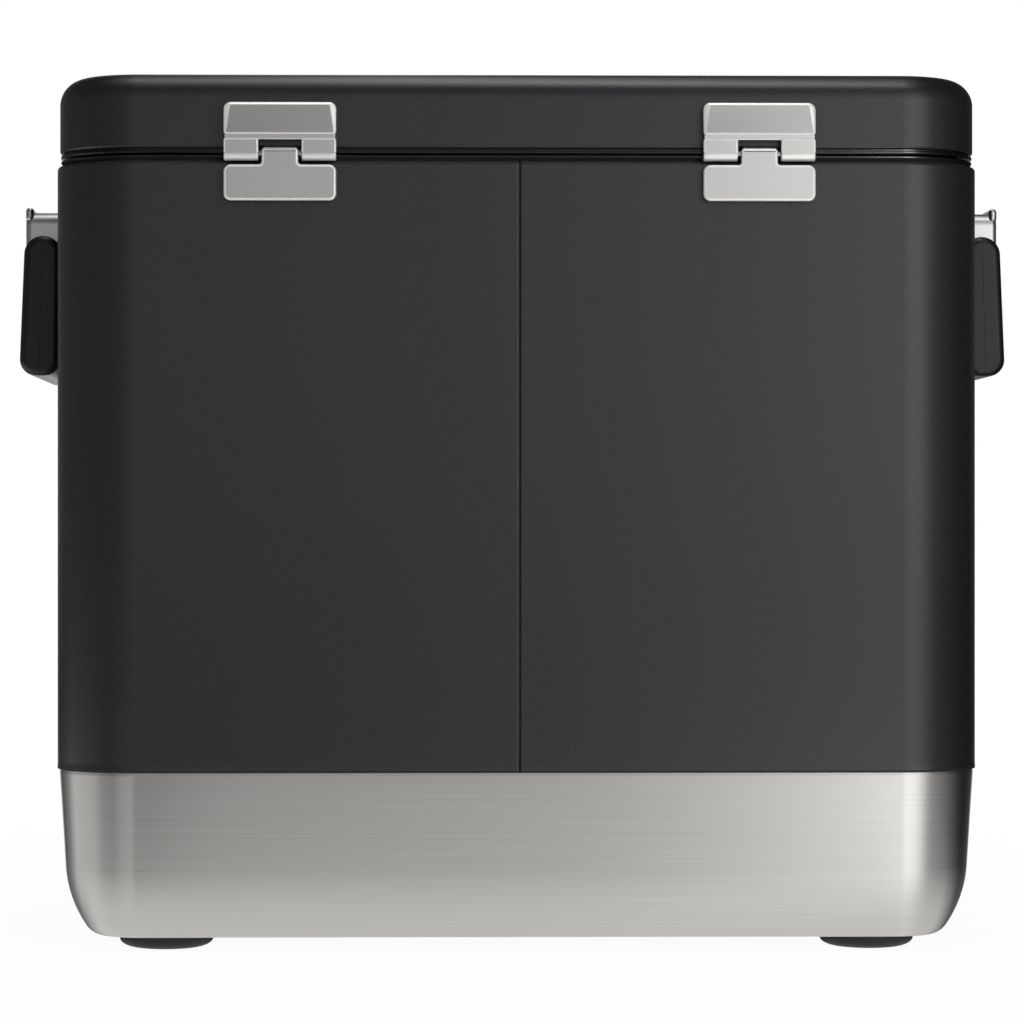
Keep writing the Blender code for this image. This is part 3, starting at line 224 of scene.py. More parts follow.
def pan_side(offset):
    """The pan's side as (inset, height), bottom to top, offset inwards for its inner face."""
    toe, draft = math.radians(pan_toe_angle), math.radians(pan_draft)
    fall = pan_sweep * (math.sin(toe) - math.sin(draft)) + pan_toe * (1 - math.sin(toe))
    run = (wrap_bottom - pan_bottom - fall) * math.tan(draft)
    sweep_u = pan_inset + run + pan_sweep * math.cos(draft)
    sweep_v = pan_bottom + pan_toe * (1 - math.sin(toe)) + pan_sweep * math.sin(toe)
    toe_u = sweep_u - (pan_sweep - pan_toe) * math.cos(toe)
    toe_v = sweep_v - (pan_sweep - pan_toe) * math.sin(toe)
    side = arc(toe_u, toe_v, pan_toe - offset, 270, 180 + pan_toe_angle, pan_toe_steps)
    sweep = arc(sweep_u, sweep_v, pan_sweep - offset, 180 + pan_toe_angle, 180 + pan_draft,
                pan_sweep_steps)
    return side + sweep[1:]


rim_z = wrap_bottom - pan_rim_round
outer_side = pan_side(0) + [(pan_inset + u, rim_z + z) for u, z in pan_rim_turn]
outer_side.append((pan_inset + pan_lap_inset, wrap_bottom + pan_lap))
inner_side = pan_side(pan_sheet) + [(pan_inset + pan_sheet + pan_inner_turn, wrap_bottom)]
inner_side.append((pan_inset + pan_sheet + pan_lap_inset, wrap_bottom + pan_lap))
pan_rings = [plan_ring(u, z) for u, z in outer_side + inner_side[::-1]]
pan = add_piece("pan_drawing", [loft(pan_rings)], "body", pan_steel, ["base_pan"])


# Body wrap: one 0.8 mm steel sheet bent round the body and powder coated black. Its ends
# butt at the middle of the back, its top rolls in over the collar, its bottom edge is
# folded a hair proud of the pan. The coat's fine orange peel gives a soft satin grain.
wrap_top = 433.0
wrap_sheet = 0.8
wrap_roll = 2.2
wrap_lip = 3.0
seam_edge = ((0.5, 0.4), (0.62, 0.14), (0.9, 0.02), (1.3, 0.0))
wrap_flare = 0.15
hem_turn = ((0.35, 0), (0.02 - wrap_flare, 0.25), (-wrap_flare, 1.0), (-wrap_flare, 1.5),
            (0, 3.2), (0, 5))
roll_turn = ((0.66, 0.57), (0.78, 0.44), (1.3, 0.17), (1.8, 0.04))


def moulded(name, colours, grain, depth, roughness, specular=0.5, metal=0):
    """A coated or moulded surface: a grain so wide and deep, in millimetres, that stirs the
    colour, the roughness and the surface itself. It gives the eye a soft broken sheen."""
    material, output = new_material(name)
    place = node(material, "ShaderNodeTexCoord", {})
    peel = node(material, "ShaderNodeTexNoise", {
        "Scale": 1000 / grain, "Detail": 2, "Roughness": 0.5,
    }, {"Vector": place.outputs["Object"]})
    tone = node(material, "ShaderNodeMix", {
        "data_type": "RGBA", 6: linear(colours[0]), 7: linear(colours[1]),
    }, {0: peel.outputs["Fac"]})
    sheen = node(material, "ShaderNodeMapRange", {
        "From Min": 0.3, "From Max": 0.7, "To Min": roughness[0], "To Max": roughness[1],
    }, {"Value": peel.outputs["Fac"]})
    skin = node(material, "ShaderNodeBump", {
        "Strength": 0.3, "Distance": depth / 1000,
    }, {"Height": peel.outputs["Fac"]})
    surface = node(material, "ShaderNodeBsdfPrincipled", {
        "Metallic": metal, "Specular IOR Level": specular,
    }, {
        "Base Color": tone.outputs[2], "Roughness": sheen.outputs["Result"],
        "Normal": skin.outputs["Normal"],
    })
    material.node_tree.links.new(surface.outputs["BSDF"], output.inputs["Surface"])
    return material


# The peel is about 1 mm wide on the real coat and only just shows.
powder_coat = moulded("black powder coat on steel", ("#151719", "#1c1e20"), grain=0.9, depth=0.03,
                      roughness=(0.25, 0.30), specular=0.6)

roll_centre = wrap_top - wrap_roll
outer_side = [(u, wrap_bottom + rise) for u, rise in hem_turn]
outer_side += arc(wrap_roll, roll_centre, wrap_roll, 180, 150, 3)
outer_side += [(u, wrap_top - drop) for u, drop in roll_turn]
outer_side += [(wrap_roll, wrap_top), (wrap_lip, wrap_top)]
inner_side = [(wrap_sheet, wrap_bottom)]
inner_side += arc(wrap_roll, roll_centre, wrap_roll - wrap_sheet, 180, 90, 8)
inner_side += [(wrap_lip, wrap_top - wrap_sheet)]
plain_edge = [(x, 0.0) for x, extra in seam_edge]
wrap_rings = [plan_ring(u, z, seam=seam_edge) for u, z in outer_side]
wrap_rings += [plan_ring(u, z, seam=plain_edge) for u, z in inner_side[::-1]]
wrap_skin = loft(wrap_rings, closed=True, open_path=True)
wrap = add_piece("wrap_sheet", [wrap_skin], "body", powder_coat, ["body_wrap"])


# Seam strip: a steel strip behind the butt seam. The strip, the pan's lap, the wrap's hem and its
# rolled top get a dark matt material, painted shade for the shadow in each narrow joint, so each
# joint is seen as a dark line.
painted_shade_hem = 0.7
painted_shade_roll = 1.0


def dress(names, material, edge=0, angle=30):
    """Gives CAD nodes their finish, and softens their edges by a small round."""
    for name in names:
        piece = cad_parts[name]
        piece.data.materials.clear()
        piece.data.materials.append(material)
        piece.data.shade_smooth()
        weld = piece.modifiers.new("one skin", "WELD")
        weld.merge_threshold = 0.00001
        if edge:
            flat = piece.modifiers.new("whole faces", "DECIMATE")
            flat.decimate_type = "DISSOLVE"
            flat.angle_limit = math.radians(0.6)
            soft = piece.modifiers.new("soft edges", "BEVEL")
            soft.width = edge / 1000
            soft.segments = 2
            soft.limit_method = "ANGLE"
            soft.angle_limit = math.radians(angle)
            soft.harden_normals = False
        piece.data.set_sharp_from_angle(angle=math.radians(45))
        level = piece.modifiers.new("flat faces stay flat", "WEIGHTED_NORMAL")
        level.keep_sharp = True


def paint_shade_band(piece, material, *bands):
    """Another material for the faces whose middle lies in a band of heights, in millimetres; here
    always a painted shade.
    """
    piece.data.materials.append(material)
    for face in piece.data.polygons:
        height = face.center.z * 1000
        face.material_index = int(any(low < height < high for low, high in bands))


# Dark matt steel: painted shade in the seam, on the hem's underside and on the roll under the lid.
painted_shade_steel = moulded("painted shade on dark steel", ("#0c0c0d", "#141415"), grain=1.2, depth=0.02,
                       roughness=(0.6, 0.7))
dress(["seam_strip"], painted_shade_steel)
paint_shade_band(pan, painted_shade_steel, (wrap_bottom, wrap_top))
paint_shade_band(wrap, painted_shade_steel, (0, wrap_bottom + painted_shade_hem),
              (wrap_top - painted_shade_roll, wrap_top + painted_shade_roll))


# Collar: the rim round the tub, injection moulded glossy black ABS. It clips over the
# wrap's lip and shows as one polished ridge above it.
tub_corner = 79.5
collar_low, collar_top = 426.5, 436.1
neck_inset, neck_top = 3.3, 432.8
skirt_inset = 5.4
deck_sheet = 2.6
apron_drop = 6.0
ridge_round = ((2.15, 1.25), (1.98, 1.1), (1.9, 0.9), (1.9, 0.45), (1.98, 0.22), (2.15, 0.06),
               (2.4, 0))
deck_edge = ((46.9, 0), (47.2, 0.1), (47.35, 0.3), (47.4, 0.6), (47.4, apron_drop),
             (45.8, apron_drop), (45.8, deck_sheet))
undercut = (433.4, 434.95)

collar_rings = [plan_ring(neck_inset, z) for z in (collar_low, neck_top)]
collar_rings += [plan_ring(u, collar_top - drop) for u, drop in ridge_round]
collar_rings += [plan_ring(u, collar_top - drop, tub_corner) for u, drop in deck_edge]
collar_rings += [plan_ring(skirt_inset, z) for z in (collar_top - deck_sheet, collar_low)]
gloss_abs = moulded("polished black ABS", ("#060607", "#080809"), grain=30, depth=0.02,
                    roughness=(0.08, 0.11), specular=0.45)
# The undercut below the ridge is near-black and matt: painted shade for the shadow it lies in.
painted_shade_abs = moulded("painted shade in the rim's undercut", ("#040404", "#070707"), grain=1.0, depth=0.02,
                   roughness=(0.6, 0.7), specular=0.2)
collar_skin = loft(collar_rings, closed=True)
collar = add_piece("collar_moulding", [collar_skin], "body", gloss_abs, ["collar"])
paint_shade_band(collar, painted_shade_abs, undercut)


# Tub and foam: a pale grey moulded HDPE tub with straw coloured polyurethane foam poured
# between it and the steel. The tub has the fine satin of a moulded food box.
grey_hdpe = moulded("pale grey moulded HDPE", ("#c6c8c9", "#ced0d1"), grain=1.4, depth=0.02,
                    roughness=(0.38, 0.46))
poured_foam = moulded("poured polyurethane foam", ("#c9b27c", "#dcc795"), grain=3, depth=0.3,
                      roughness=(0.85, 0.95))
dress(["liner_tub"], grey_hdpe)
dress(["body_foam", "lid_foam"], poured_foam)


# Feet: four black rubber buttons under the pan, each held by a stainless screw up its
# well. Moulded rubber is matt and faintly grey where light grazes it.
foot_radius = 26.0
foot_sole = 15.5
foot_top = 6.5
foot_band = 1.5
foot_bore = 2.5
foot_well = 5.5
foot_recess = 3.0
foot_edge = 0.5
foot_well_edge = 0.4
foot_sides = 64
foot_steps = 8
foot_across = 195.0
foot_back, foot_front = 143.0, -130.0

moulded_rubber = moulded("moulded black rubber", ("#0e0e0f", "#191919"), grain=0.7, depth=0.05,
                         roughness=(0.62, 0.75))
# Small turned and cut steel parts are a duller grey than the brushed sheet.
turned_steel = brushed_stainless("turned stainless screw", ("#a8a6a2", "#c8c6c2"),
                                 roughness=(0.25, 0.35), line=0.4, length=30, stretched=0)


def turned(profile, centre, sides, axis="Z"):
    """Turns (radius, along) points round an axis through a centre, closed on itself."""
    rings = []
    for radius, along in profile:
        ring = []
        for side in range(sides):
            angle = math.tau * side / sides
            u, v = radius * math.cos(angle), radius * math.sin(angle)
            point = {"Z": (u, v, along), "X": (along, u, v), "Y": (v, along, u)}[axis]
            ring.append(Vector(centre) + Vector(point))
        rings.append(ring)
    return rings


foot_side = []
for step in range(foot_steps + 1):
    angle = math.radians(90 * step / foot_steps)
    height = (foot_top - foot_band) * (1 - math.cos(angle))
    foot_side.append((foot_sole + (foot_radius - foot_sole) * math.sin(angle), height))
foot_side += [(foot_radius, foot_top - foot_edge)]
foot_side += [(foot_radius - 0.3 * foot_edge, foot_top - 0.24 * foot_edge)]
foot_side += [(foot_radius - foot_edge, foot_top), (foot_bore, foot_top), (foot_bore, foot_recess)]
foot_side += [(foot_well, foot_recess), (foot_well, foot_well_edge), (foot_well + foot_well_edge, 0)]
for row, foot_y in (("back", foot_back), ("front", foot_front)):
    for side, foot_x in (("left", -foot_across), ("right", foot_across)):
        name = f"foot_{row}_{side}"
        rings = turned(foot_side, (foot_x, foot_y, 0), foot_sides)
        skin = loft(rings, closed=True)
        button = add_piece(f"{name}_button", [skin], "body", moulded_rubber, [name])
        # The brushed pan would otherwise mirror each button as a dark arch above it.
        button.visible_glossy = False
        dress([f"{name}_screw"], turned_steel)


# Lid: a drawn 0.8 mm steel shell with a soft top edge and a hem turned in at the bottom,
# in the body's powder coat. Under it sits a glossy moulded liner with a ridge that
# meets the collar, and a gasket.
lid_bottom = 440.0
lid_top = 481.5
lid_inset = 1.4
lid_round = 14.5
lid_hem = 3.0
hem_round = 1.6
lid_sheet = 0.8
liner_low, liner_high = 437.0, 439.7
liner_inset = 3.4
liner_ridge = ((3.4, 2.3), (2.4, 2.15), (2.05, 1.95), (1.86, 1.6), (1.8, 1.2), (1.84, 0.8),
               (1.98, 0.4), (2.3, 0.08), (2.8, 0))
groove_outer, groove_inner, groove_top = 10.0, 22.0, 438.5
plug_bowl = ((52.55, 425.0), (51.3, 426.25), (51.3, liner_high))
plug_wall = ((48.4, liner_low), (48.8, 436.6), (48.8, 425.0), (49.5, 423.2), (51.3, 422.5))

top_u, top_z = lid_inset + lid_round, lid_top - lid_round
hem_u, hem_z = lid_inset + hem_round, lid_bottom + hem_round
lid_outer = [(lid_inset + lid_hem, lid_bottom)] + arc(hem_u, hem_z, hem_round, 270, 180, 6)
lid_outer += arc(top_u, top_z, lid_round, 180, 90, 16)
lid_inner = [(lid_inset + lid_hem, lid_bottom + lid_sheet)]
lid_inner += arc(hem_u, hem_z, hem_round - lid_sheet, 270, 180, 4)
lid_inner += arc(top_u, top_z, lid_round - lid_sheet, 180, 90, 8)
lid_rings = [plan_ring(u, z) for u, z in lid_inner[::-1] + lid_outer]
add_piece("lid_drawing", [loft(lid_rings)], "lid", powder_coat, ["lid_shell"])

liner_edge = [(liner_inset, liner_high)] + [(u, liner_low + rise) for u, rise in liner_ridge]
liner_edge += [(groove_outer, liner_low), (groove_outer, groove_top)]
liner_edge += [(groove_inner, groove_top), (groove_inner, liner_low)]
liner_rings = [plan_ring(u, z, tub_corner) for u, z in plug_bowl]
liner_rings += [plan_ring(u, z) for u, z in liner_edge]
liner_rings += [plan_ring(u, z, tub_corner) for u, z in plug_wall]
liner_skin = loft(liner_rings[::-1])
liner = add_piece("lid_liner_moulding", [liner_skin], "lid", gloss_abs,
                  ["lid_liner"])
dress(["lid_gasket"], moulded_rubber)


# Hinges: two pairs of leaves pressed from 2 mm stainless, satin finished, with rounded
# edges. Those edges and the knuckles' undersides take a near-white material, a painted highlight.
# The lower leaf's tongue and the upper leaf's two knuckles curl round one pin. Weld studs hold them
# from inside.
back_y = body_centre_y + body_half_depth
pin_y, pin_z = 191.8, 436.5
barrel = 4.0
hinge_across = 130.5
hinge_half = 30.6
leaf_edge = 1.3
leaf_corner = 3.8
joggle_corner = 1.6
stand_off = 0.3
tongue_half = 9.9
tongue_top, tongue_corner = pin_z + 2.1, 0.8
notch_half = 11.7
lower_face_y = 195.8
lower_low, lower_high = 410.6, 430.2
panel_face_y = 197.0
panel_low, panel_high = 446.6, 464.3
panel_lean = 3.6
panel_fall = 2.4
panel_step = 0.8
panel_edge = 0.9
panel_edge_steps = 4
panel_margin = 1.4
panel_foot, panel_head = 0.9, 1.5
band_half = hinge_half - 0.6
band_low, band_high, band_face_y = 443.9, 448.0, 195.0
knuckle_low, knuckle_top, knuckle_corner = pin_z - 1.5, 444.7, 1.4
knuckle_sheet = 2.0
knuckle_edge = 0.9
painted_highlight_slope = -0.35
lid_face_y = back_y - lid_inset


def panel_face(z):
    """How far out the raised panel's face stands: its top leans back towards the lid."""
    return panel_face_y - panel_fall * (z - panel_low) / (panel_high - panel_low)


def panel_rim(z):
    """The rim round the panel, a step behind its face."""
    return panel_face(z) - panel_step


satin_steel = brushed_stainless("satin pressed stainless", ("#cecccb", "#d9d7d6"),
                                roughness=(0.27, 0.31), line=0.12, length=12, stretched=0.3)
# A near-white, partly metal material for the hinges' rounded edges: a painted highlight.
painted_highlight_edge = moulded("painted highlight on stainless edge", ("#eeece8", "#f6f4f1"), grain=0.5, depth=0.01,
                      roughness=(0.30, 0.38), metal=0.45)


def filleted(corners, steps=6):
    """A flat closed outline through (u, v, radius) corners, anticlockwise, each one rounded."""
    outline = []
    for index, (u, v, radius) in enumerate(corners):
        point = Vector((u, v))
        before = (Vector(corners[index - 1][:2]) - point).normalized()
        after = (Vector(corners[(index + 1) % len(corners)][:2]) - point).normalized()
        if radius == 0:
            outline.append((u, v))
            continue
        half = before.angle(after) / 2
        centre = point + (before + after).normalized() * radius / math.sin(half)
        first = point + before * radius / math.tan(half) - centre
        last = point + after * radius / math.tan(half) - centre
        start = math.degrees(math.atan2(first.y, first.x))
        turn = math.degrees(math.atan2(last.y, last.x)) - start
        turn = (turn + 180) % 360 - 180
        outline += arc(centre.x, centre.y, radius, start, start + turn, steps)
    return outline


def taken_in(outline, distance):
    """An anticlockwise outline moved inwards."""
    moved = []
    for index, point in enumerate(outline):
        before, after = outline[index - 1], outline[(index + 1) % len(outline)]
        first = (Vector(point) - Vector(before)).normalized()
        last = (Vector(after) - Vector(point)).normalized()
        first, last = Vector((-first.y, first.x)), Vector((-last.y, last.x))
        moved.append(Vector(point) + (first + last) * distance / (1 + first.dot(last)))
    return moved


def pressed(outline, back, face, edge, place, steps=5):
    """A plate whose outline runs from its back to its face. Its rounded edge takes the second
    material, a painted highlight.
    """
    sign = math.copysign(1, face - back)
    rings = [[place(u, v, back) for u, v in outline]]
    for step in range(steps + 1):
        angle = math.radians(90 * step / steps)
        depth = face - sign * edge * (1 - math.sin(angle))
        drawn = taken_in(outline, edge * (1 - math.cos(angle)))
        rings.append([place(u, v, depth) for u, v in drawn])
    return loft(rings, rims=range(1, steps + 1))


def rounded_rod(centre, axis, low, high, radius, edge, sides=40):
    """A round bar with soft ends."""
    profile = [(radius - edge + x, low + edge - y) for y, x in arc(0, 0, edge, 0, 90, 4)]
    profile += [(radius - edge + x, high - edge + y) for x, y in arc(0, 0, edge, 0, 90, 4)]
    return loft(turned(profile, centre, sides, axis))


def painted_highlight_below(skin):
    """Gives the faces that look down the second material, a painted highlight."""
    bmesh.ops.recalc_face_normals(skin, faces=skin.faces)
    for face in skin.faces:
        face.material_index = int(face.normal.z < painted_highlight_slope)
    return skin


def on_back(u, v, depth):
    """Plate coordinates seen on the cooler's back: across, up, out."""
    return (u, depth, v)


for side, centre in (("left", -hinge_across), ("right", hinge_across)):
    tee = filleted([
        (centre - hinge_half, lower_low, leaf_corner), (centre + hinge_half, lower_low, leaf_corner),
        (centre + hinge_half, lower_high, leaf_corner),
        (centre + tongue_half, lower_high, joggle_corner),
        (centre + tongue_half, tongue_top, tongue_corner),
        (centre - tongue_half, tongue_top, tongue_corner),
        (centre - tongue_half, lower_high, joggle_corner),
        (centre - hinge_half, lower_high, leaf_corner),
    ])
    skins = [
        pressed(tee, back_y + stand_off, lower_face_y, leaf_edge, on_back),
        rounded_rod((0, pin_y, pin_z), "X", centre - tongue_half, centre + tongue_half, barrel,
                    leaf_edge),
    ]
    add_piece(f"hinge_body_leaf_{side}", skins, "body", satin_steel,
              [f"hinge_lower_leaf_{side}"], rim=painted_highlight_edge)

    leaf = filleted([
        (centre - hinge_half, panel_low, joggle_corner),
        (centre + hinge_half, panel_low, joggle_corner),
        (centre + hinge_half, panel_high, leaf_corner),
        (centre - hinge_half, panel_high, leaf_corner),
    ])
    face = filleted([
        (centre - hinge_half + panel_margin, panel_low + panel_foot, 0.8),
        (centre + hinge_half - panel_margin, panel_low + panel_foot, 0.8),
        (centre + hinge_half - panel_lean, panel_high - panel_head, 1.2),
        (centre - hinge_half + panel_lean, panel_high - panel_head, 1.2),
    ])
    rings = [[on_back(u, v, lid_face_y + stand_off) for u, v in leaf]]
    for step in range(panel_edge_steps + 1):
        angle = math.radians(90 * step / panel_edge_steps)
        drawn = taken_in(leaf, panel_edge * (1 - math.cos(angle))) if step else leaf
        rings.append([on_back(u, v, panel_rim(v) - panel_edge * (1 - math.sin(angle)))
                      for u, v in drawn])
    rings.append([on_back(u, v, panel_face(v)) for u, v in face])
    band = filleted([
        (centre - band_half, band_low, 1.0), (centre + band_half, band_low, 1.0),
        (centre + band_half, band_high, 1.0), (centre - band_half, band_high, 1.0),
    ])
    skins = [loft(rings, rims=range(1, panel_edge_steps + 2)),
             pressed(band, lid_face_y + stand_off, band_face_y, 0.4, on_back)]
    for low, high in ((-hinge_half, -notch_half), (notch_half, hinge_half)):
        knuckle = filleted([
            (centre + low, knuckle_low, 0), (centre + high, knuckle_low, 0),
            (centre + high, knuckle_top, knuckle_corner), (centre + low, knuckle_top, knuckle_corner),
        ])
        skins.append(pressed(knuckle, lower_face_y - knuckle_sheet, lower_face_y, 1.0, on_back))
        # The knuckles' downward faces take the painted highlight.
        skins.append(painted_highlight_below(rounded_rod((0, pin_y, pin_z), "X", centre + low, centre + high,
                                              barrel, knuckle_edge)))
    add_piece(f"hinge_lid_leaf_{side}", skins, "lid", satin_steel,
              [f"hinge_upper_leaf_{side}"], rim=painted_highlight_edge)
dress(["hinge_pin_left", "hinge_pin_right"], turned_steel, 0.3)
dress([f"hinge_backing_{where}_{side}" for where in ("body", "lid") for side in ("left", "right")],
      turned_steel, 0.3)


# Handles: on each side a pressed stainless bracket, riveted through the wall. Its hood has
# a soft bend all round and a bead rolled along its outer edge. A soft moulded grip in two
# halves turns on its rod, over a bent steel strap.
handle_half = 76.5
arm_width = 17.0
pivot_out, pivot_z = 14.5, 389.8
grip_top = 10.7
grip_low = 11.6
grip_drop = 69.8
grip_bar = 24.8
grip_corner = 9.5
grip_edge = 4.5
grip_splay = 1.5
parting = 0.06
rod_bore = 3.3
rod_bore_half = 73.3
bracket_sheet = 1.6
bracket_gap = 0.3
plate_corner = 4.5
hood_half = 59.2
hood_top, hood_low, hood_bend = 415.2, 395.2, 7.5
hood_reach, hood_corner = 25.6, 3.4
bead_radius = 2.3
bead_top = hood_top + 2.6
bead_clearance = 0.05
horn_round = 2.1
horn_low = hood_top - 5
plate_low = 323.1
ear_radius = 8.2
lip_out, lip_rise, lip_half = 6.0, 3.2, 0.55 * hood_half

# Soft TPE is close to black, with a faint broad sheen on its rounded edges.
grip_tpe = moulded("moulded black TPE grip", ("#08090a", "#0e0f10"), grain=0.6, depth=0.05,
                   roughness=(0.34, 0.42))


def joined(skins, cuts=()):
    """One closed skin from overlapping ones, less the cuts."""
    solids = []
    for skin in list(skins) + list(cuts):
        bmesh.ops.recalc_face_normals(skin, faces=skin.faces)
        mesh = bpy.data.meshes.new("solid")
        skin.to_mesh(mesh)
        skin.free()
        solid = bpy.data.objects.new("solid", mesh)
        bpy.context.scene.collection.objects.link(solid)
        solids.append(solid)
    for number, other in enumerate(solids[1:], 1):
        step = solids[0].modifiers.new("join", "BOOLEAN")
        step.object = other
        step.solver = "EXACT"
        step.operation = "UNION" if number < len(skins) else "DIFFERENCE"
    whole = bmesh.new()
    whole.from_object(solids[0], bpy.context.evaluated_depsgraph_get())
    for solid in solids:
        bpy.data.meshes.remove(solid.data)
    return whole


def half_grip(shrink, half, top=None):
    """Half of the grip seen end on, as (out, up) from its pivot, taken in by shrink but for
    its parting face. With a top it is the hand bar's section."""
    low, bottom = grip_low - shrink, shrink - grip_drop
    corner = grip_corner - shrink
    if top is None:
        radius = grip_top - shrink
        points = arc(0, 0, radius, math.degrees(math.acos(parting / radius)), 0, 14)
    else:
        points = [(parting, top - shrink)]
        points += arc(low - corner, top - shrink - corner, corner, 90, 0, 8)
    points += arc(low - corner, bottom + corner, corner, 360, 270, 8) + [(parting, bottom)]
    return [(half * out, up) for out, up in points]


def beside(sign, out, along, up):
    """A point on a side of the cooler from its distance out, its place along and its height."""
    return (sign * (body_half_width + out), body_centre_y + along, up)


def hung(sign, out, along, up):
    """A point of a hanging handle, from its pivot and splayed out by its own lean."""
    lean = math.radians(grip_splay)
    turned_out = out * math.cos(lean) - up * math.sin(lean)
    turned_up = out * math.sin(lean) + up * math.cos(lean)
    return beside(sign, pivot_out + turned_out, along, pivot_z + turned_up)


def rod_hole(sign, half):
    """The round hole for the pivot rod, so far either way from its middle."""
    centre = beside(sign, pivot_out, 0, pivot_z)
    return loft(turned([(rod_bore, -half), (rod_bore, half)], centre, 24, "Y"))


def grip_skin(sign, half):
    """One moulded half: two arms with soft ends and the bar between them."""
    skins = []
    for end in (1, -1):
        rings = []
        for edge, step in ((handle_half - arm_width, 1), (handle_half, -1)):
            for angle in (range(90, -1, -15) if step > 0 else range(0, 91, 15)):
                shrink = grip_edge * (1 - math.cos(math.radians(angle)))
                along = edge + step * grip_edge * (1 - math.sin(math.radians(angle)))
                rings.append([hung(sign, out, end * along, up)
                              for out, up in half_grip(shrink, half)])
        skins.append(loft(rings))
    reach = handle_half - arm_width / 2
    bar = half_grip(0.02, half, grip_bar - grip_drop)
    skins.append(loft([[hung(sign, out, along, up) for out, up in bar] for along in (-reach, reach)]))
    return joined(skins, [rod_hole(sign, rod_bore_half)])


def slab(sign, profile, low, high):
    """A flat (out, up) profile carried along the side from low to high."""
    return loft([[beside(sign, out, along, up) for out, up in profile] for along in (low, high)])


def hood_skin(sign, sheet, low):
    """The hood's skin from its low edge over its bend, or its hollow, a sheet inside it."""
    rings = []
    bend = hood_bend - sheet
    for inset, up in [(0, low)] + [(bend + x, hood_top - hood_bend + z)
                                   for x, z in arc(0, 0, bend, 180, 90, 8)]:
        half = hood_half - sheet - inset
        corner = max(hood_corner - sheet, 0.4)
        near = bracket_gap + sheet
        outline = filleted([(-half, near, 0.3), (half, near, 0.3),
                            (half, hood_reach - sheet, corner), (-half, hood_reach - sheet, corner)])
        rings.append([beside(sign, out, along, up) for along, out in outline])
    return loft(rings)


def bracket_skin(sign):
    """The bracket: wall plate, hood with its bead, two ears for the rod and a lower lip."""
    plate_high = hood_top - hood_bend
    plate = filleted([
        (-hood_half, plate_low, plate_corner), (hood_half, plate_low, plate_corner),
        (hood_half, plate_high, plate_corner), (-hood_half, plate_high, plate_corner),
    ])
    plate = loft([[beside(sign, out, along, up) for along, up in plate]
                  for out in (bracket_gap, bracket_gap + bracket_sheet)])

    root = bracket_gap + 0.1
    ear_top = hood_low + 1
    ear = [(root, ear_top), (root, pivot_z - ear_radius)]
    ear += arc(pivot_out, pivot_z, ear_radius, 270, 360, 8) + [(pivot_out + ear_radius, ear_top)]
    ears = [slab(sign, ear, low, low + bracket_sheet)
            for low in (-hood_half, hood_half - bracket_sheet)]

    lip_root = bracket_gap + bracket_sheet
    lip = [(root, plate_low), (lip_out, plate_low - bracket_sheet), (lip_out, plate_low),
           (lip_root, plate_low + lip_rise), (root, plate_low + lip_rise)]
    lower_lip = slab(sign, lip, -lip_half, lip_half)

    bead_z = bead_top - bead_radius
    bead_half = hood_half - bead_radius
    bead_centre = beside(sign, hood_reach - bead_radius - bead_clearance, 0, bead_z)
    bead = rounded_rod(bead_centre, "Y", -bead_half, bead_half, bead_radius - bead_clearance, 0.5, 24)
    horns = [rounded_rod(beside(sign, hood_reach - bead_radius, end * bead_half, 0), "Z",
                         horn_low, bead_top, bead_radius, horn_round, 24) for end in (-1, 1)]
    near, far = hood_reach - 2 * bead_radius, hood_reach - 0.1
    stem = [(near, hood_top - 3), (far, hood_top - 3), (far, bead_z), (near, bead_z)]
    bead_stem = slab(sign, stem, 2.0 - bead_half, bead_half - 2.0)

    hood = joined([hood_skin(sign, 0, hood_low)], [hood_skin(sign, bracket_sheet, hood_low - 1)])
    return joined([hood, plate, *ears, lower_lip, bead, *horns, bead_stem],
                  [rod_hole(sign, handle_half)])


for side, sign in (("left", -1), ("right", 1)):
    add_piece(f"handle_bracket_{side}_pressing", [bracket_skin(sign)], "body", satin_steel,
              [f"handle_bracket_{side}"], crease=35)
    dress([f"handle_rod_{side}", f"handle_core_{side}"], turned_steel, 0.3)
    dress([f"bracket_rivet_{side}_{number}" for number in range(1, 5)], turned_steel)
    for half_name, half in (("outer", 1), ("inner", -1)):
        add_piece(f"grip_{half_name}_{side}_moulding", [grip_skin(sign, half)], f"handle_{side}",
                  grip_tpe, [f"grip_{half_name}_{side}"], crease=50)


# Latch: a satin stainless catch on the front. The plate is studded to the lid, the lever
# hangs from its pin, and its tooth hooks under the ridge of the keeper on the body.
dress(["latch_plate", "latch_lever", "latch_keeper"], satin_steel, 0.4)
dress(["latch_pin", "latch_backing", "keeper_rivet_1", "keeper_rivet_2"], turned_steel)


# Drain: a black moulded nylon spout through the front wall, with its nut, a rubber washer
# inside the tub and a cap that flips up on a small pin.
# Moulded nylon keeps a dull even sheen.
black_nylon = moulded("moulded black nylon", ("#121213", "#1a1a1b"), grain=0.8, depth=0.04,
                      roughness=(0.42, 0.52))
dress(["drain_spout", "drain_nut", "drain_cap"], black_nylon, 0.3)
dress(["drain_washer"], moulded_rubber)
dress(["drain_cap_pin"], turned_steel)


# Studio: a white floor that keeps the object's shadow, tall soft boxes either side of the
# camera, and dark flags behind the object that keep its edges dark, as in the photograph.
def studio_sheet(name, corners, material):
    """A flat stage sheet through four corners in metres."""
    mesh = bpy.data.meshes.new(name)
    mesh.from_pydata([Vector(corner) for corner in corners], [], [(0, 1, 2, 3)])
    mesh.materials.append(material)
    sheet = bpy.data.objects.new(name, mesh)
    bpy.context.scene.collection.objects.link(sheet)
    sheet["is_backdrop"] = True
    return sheet


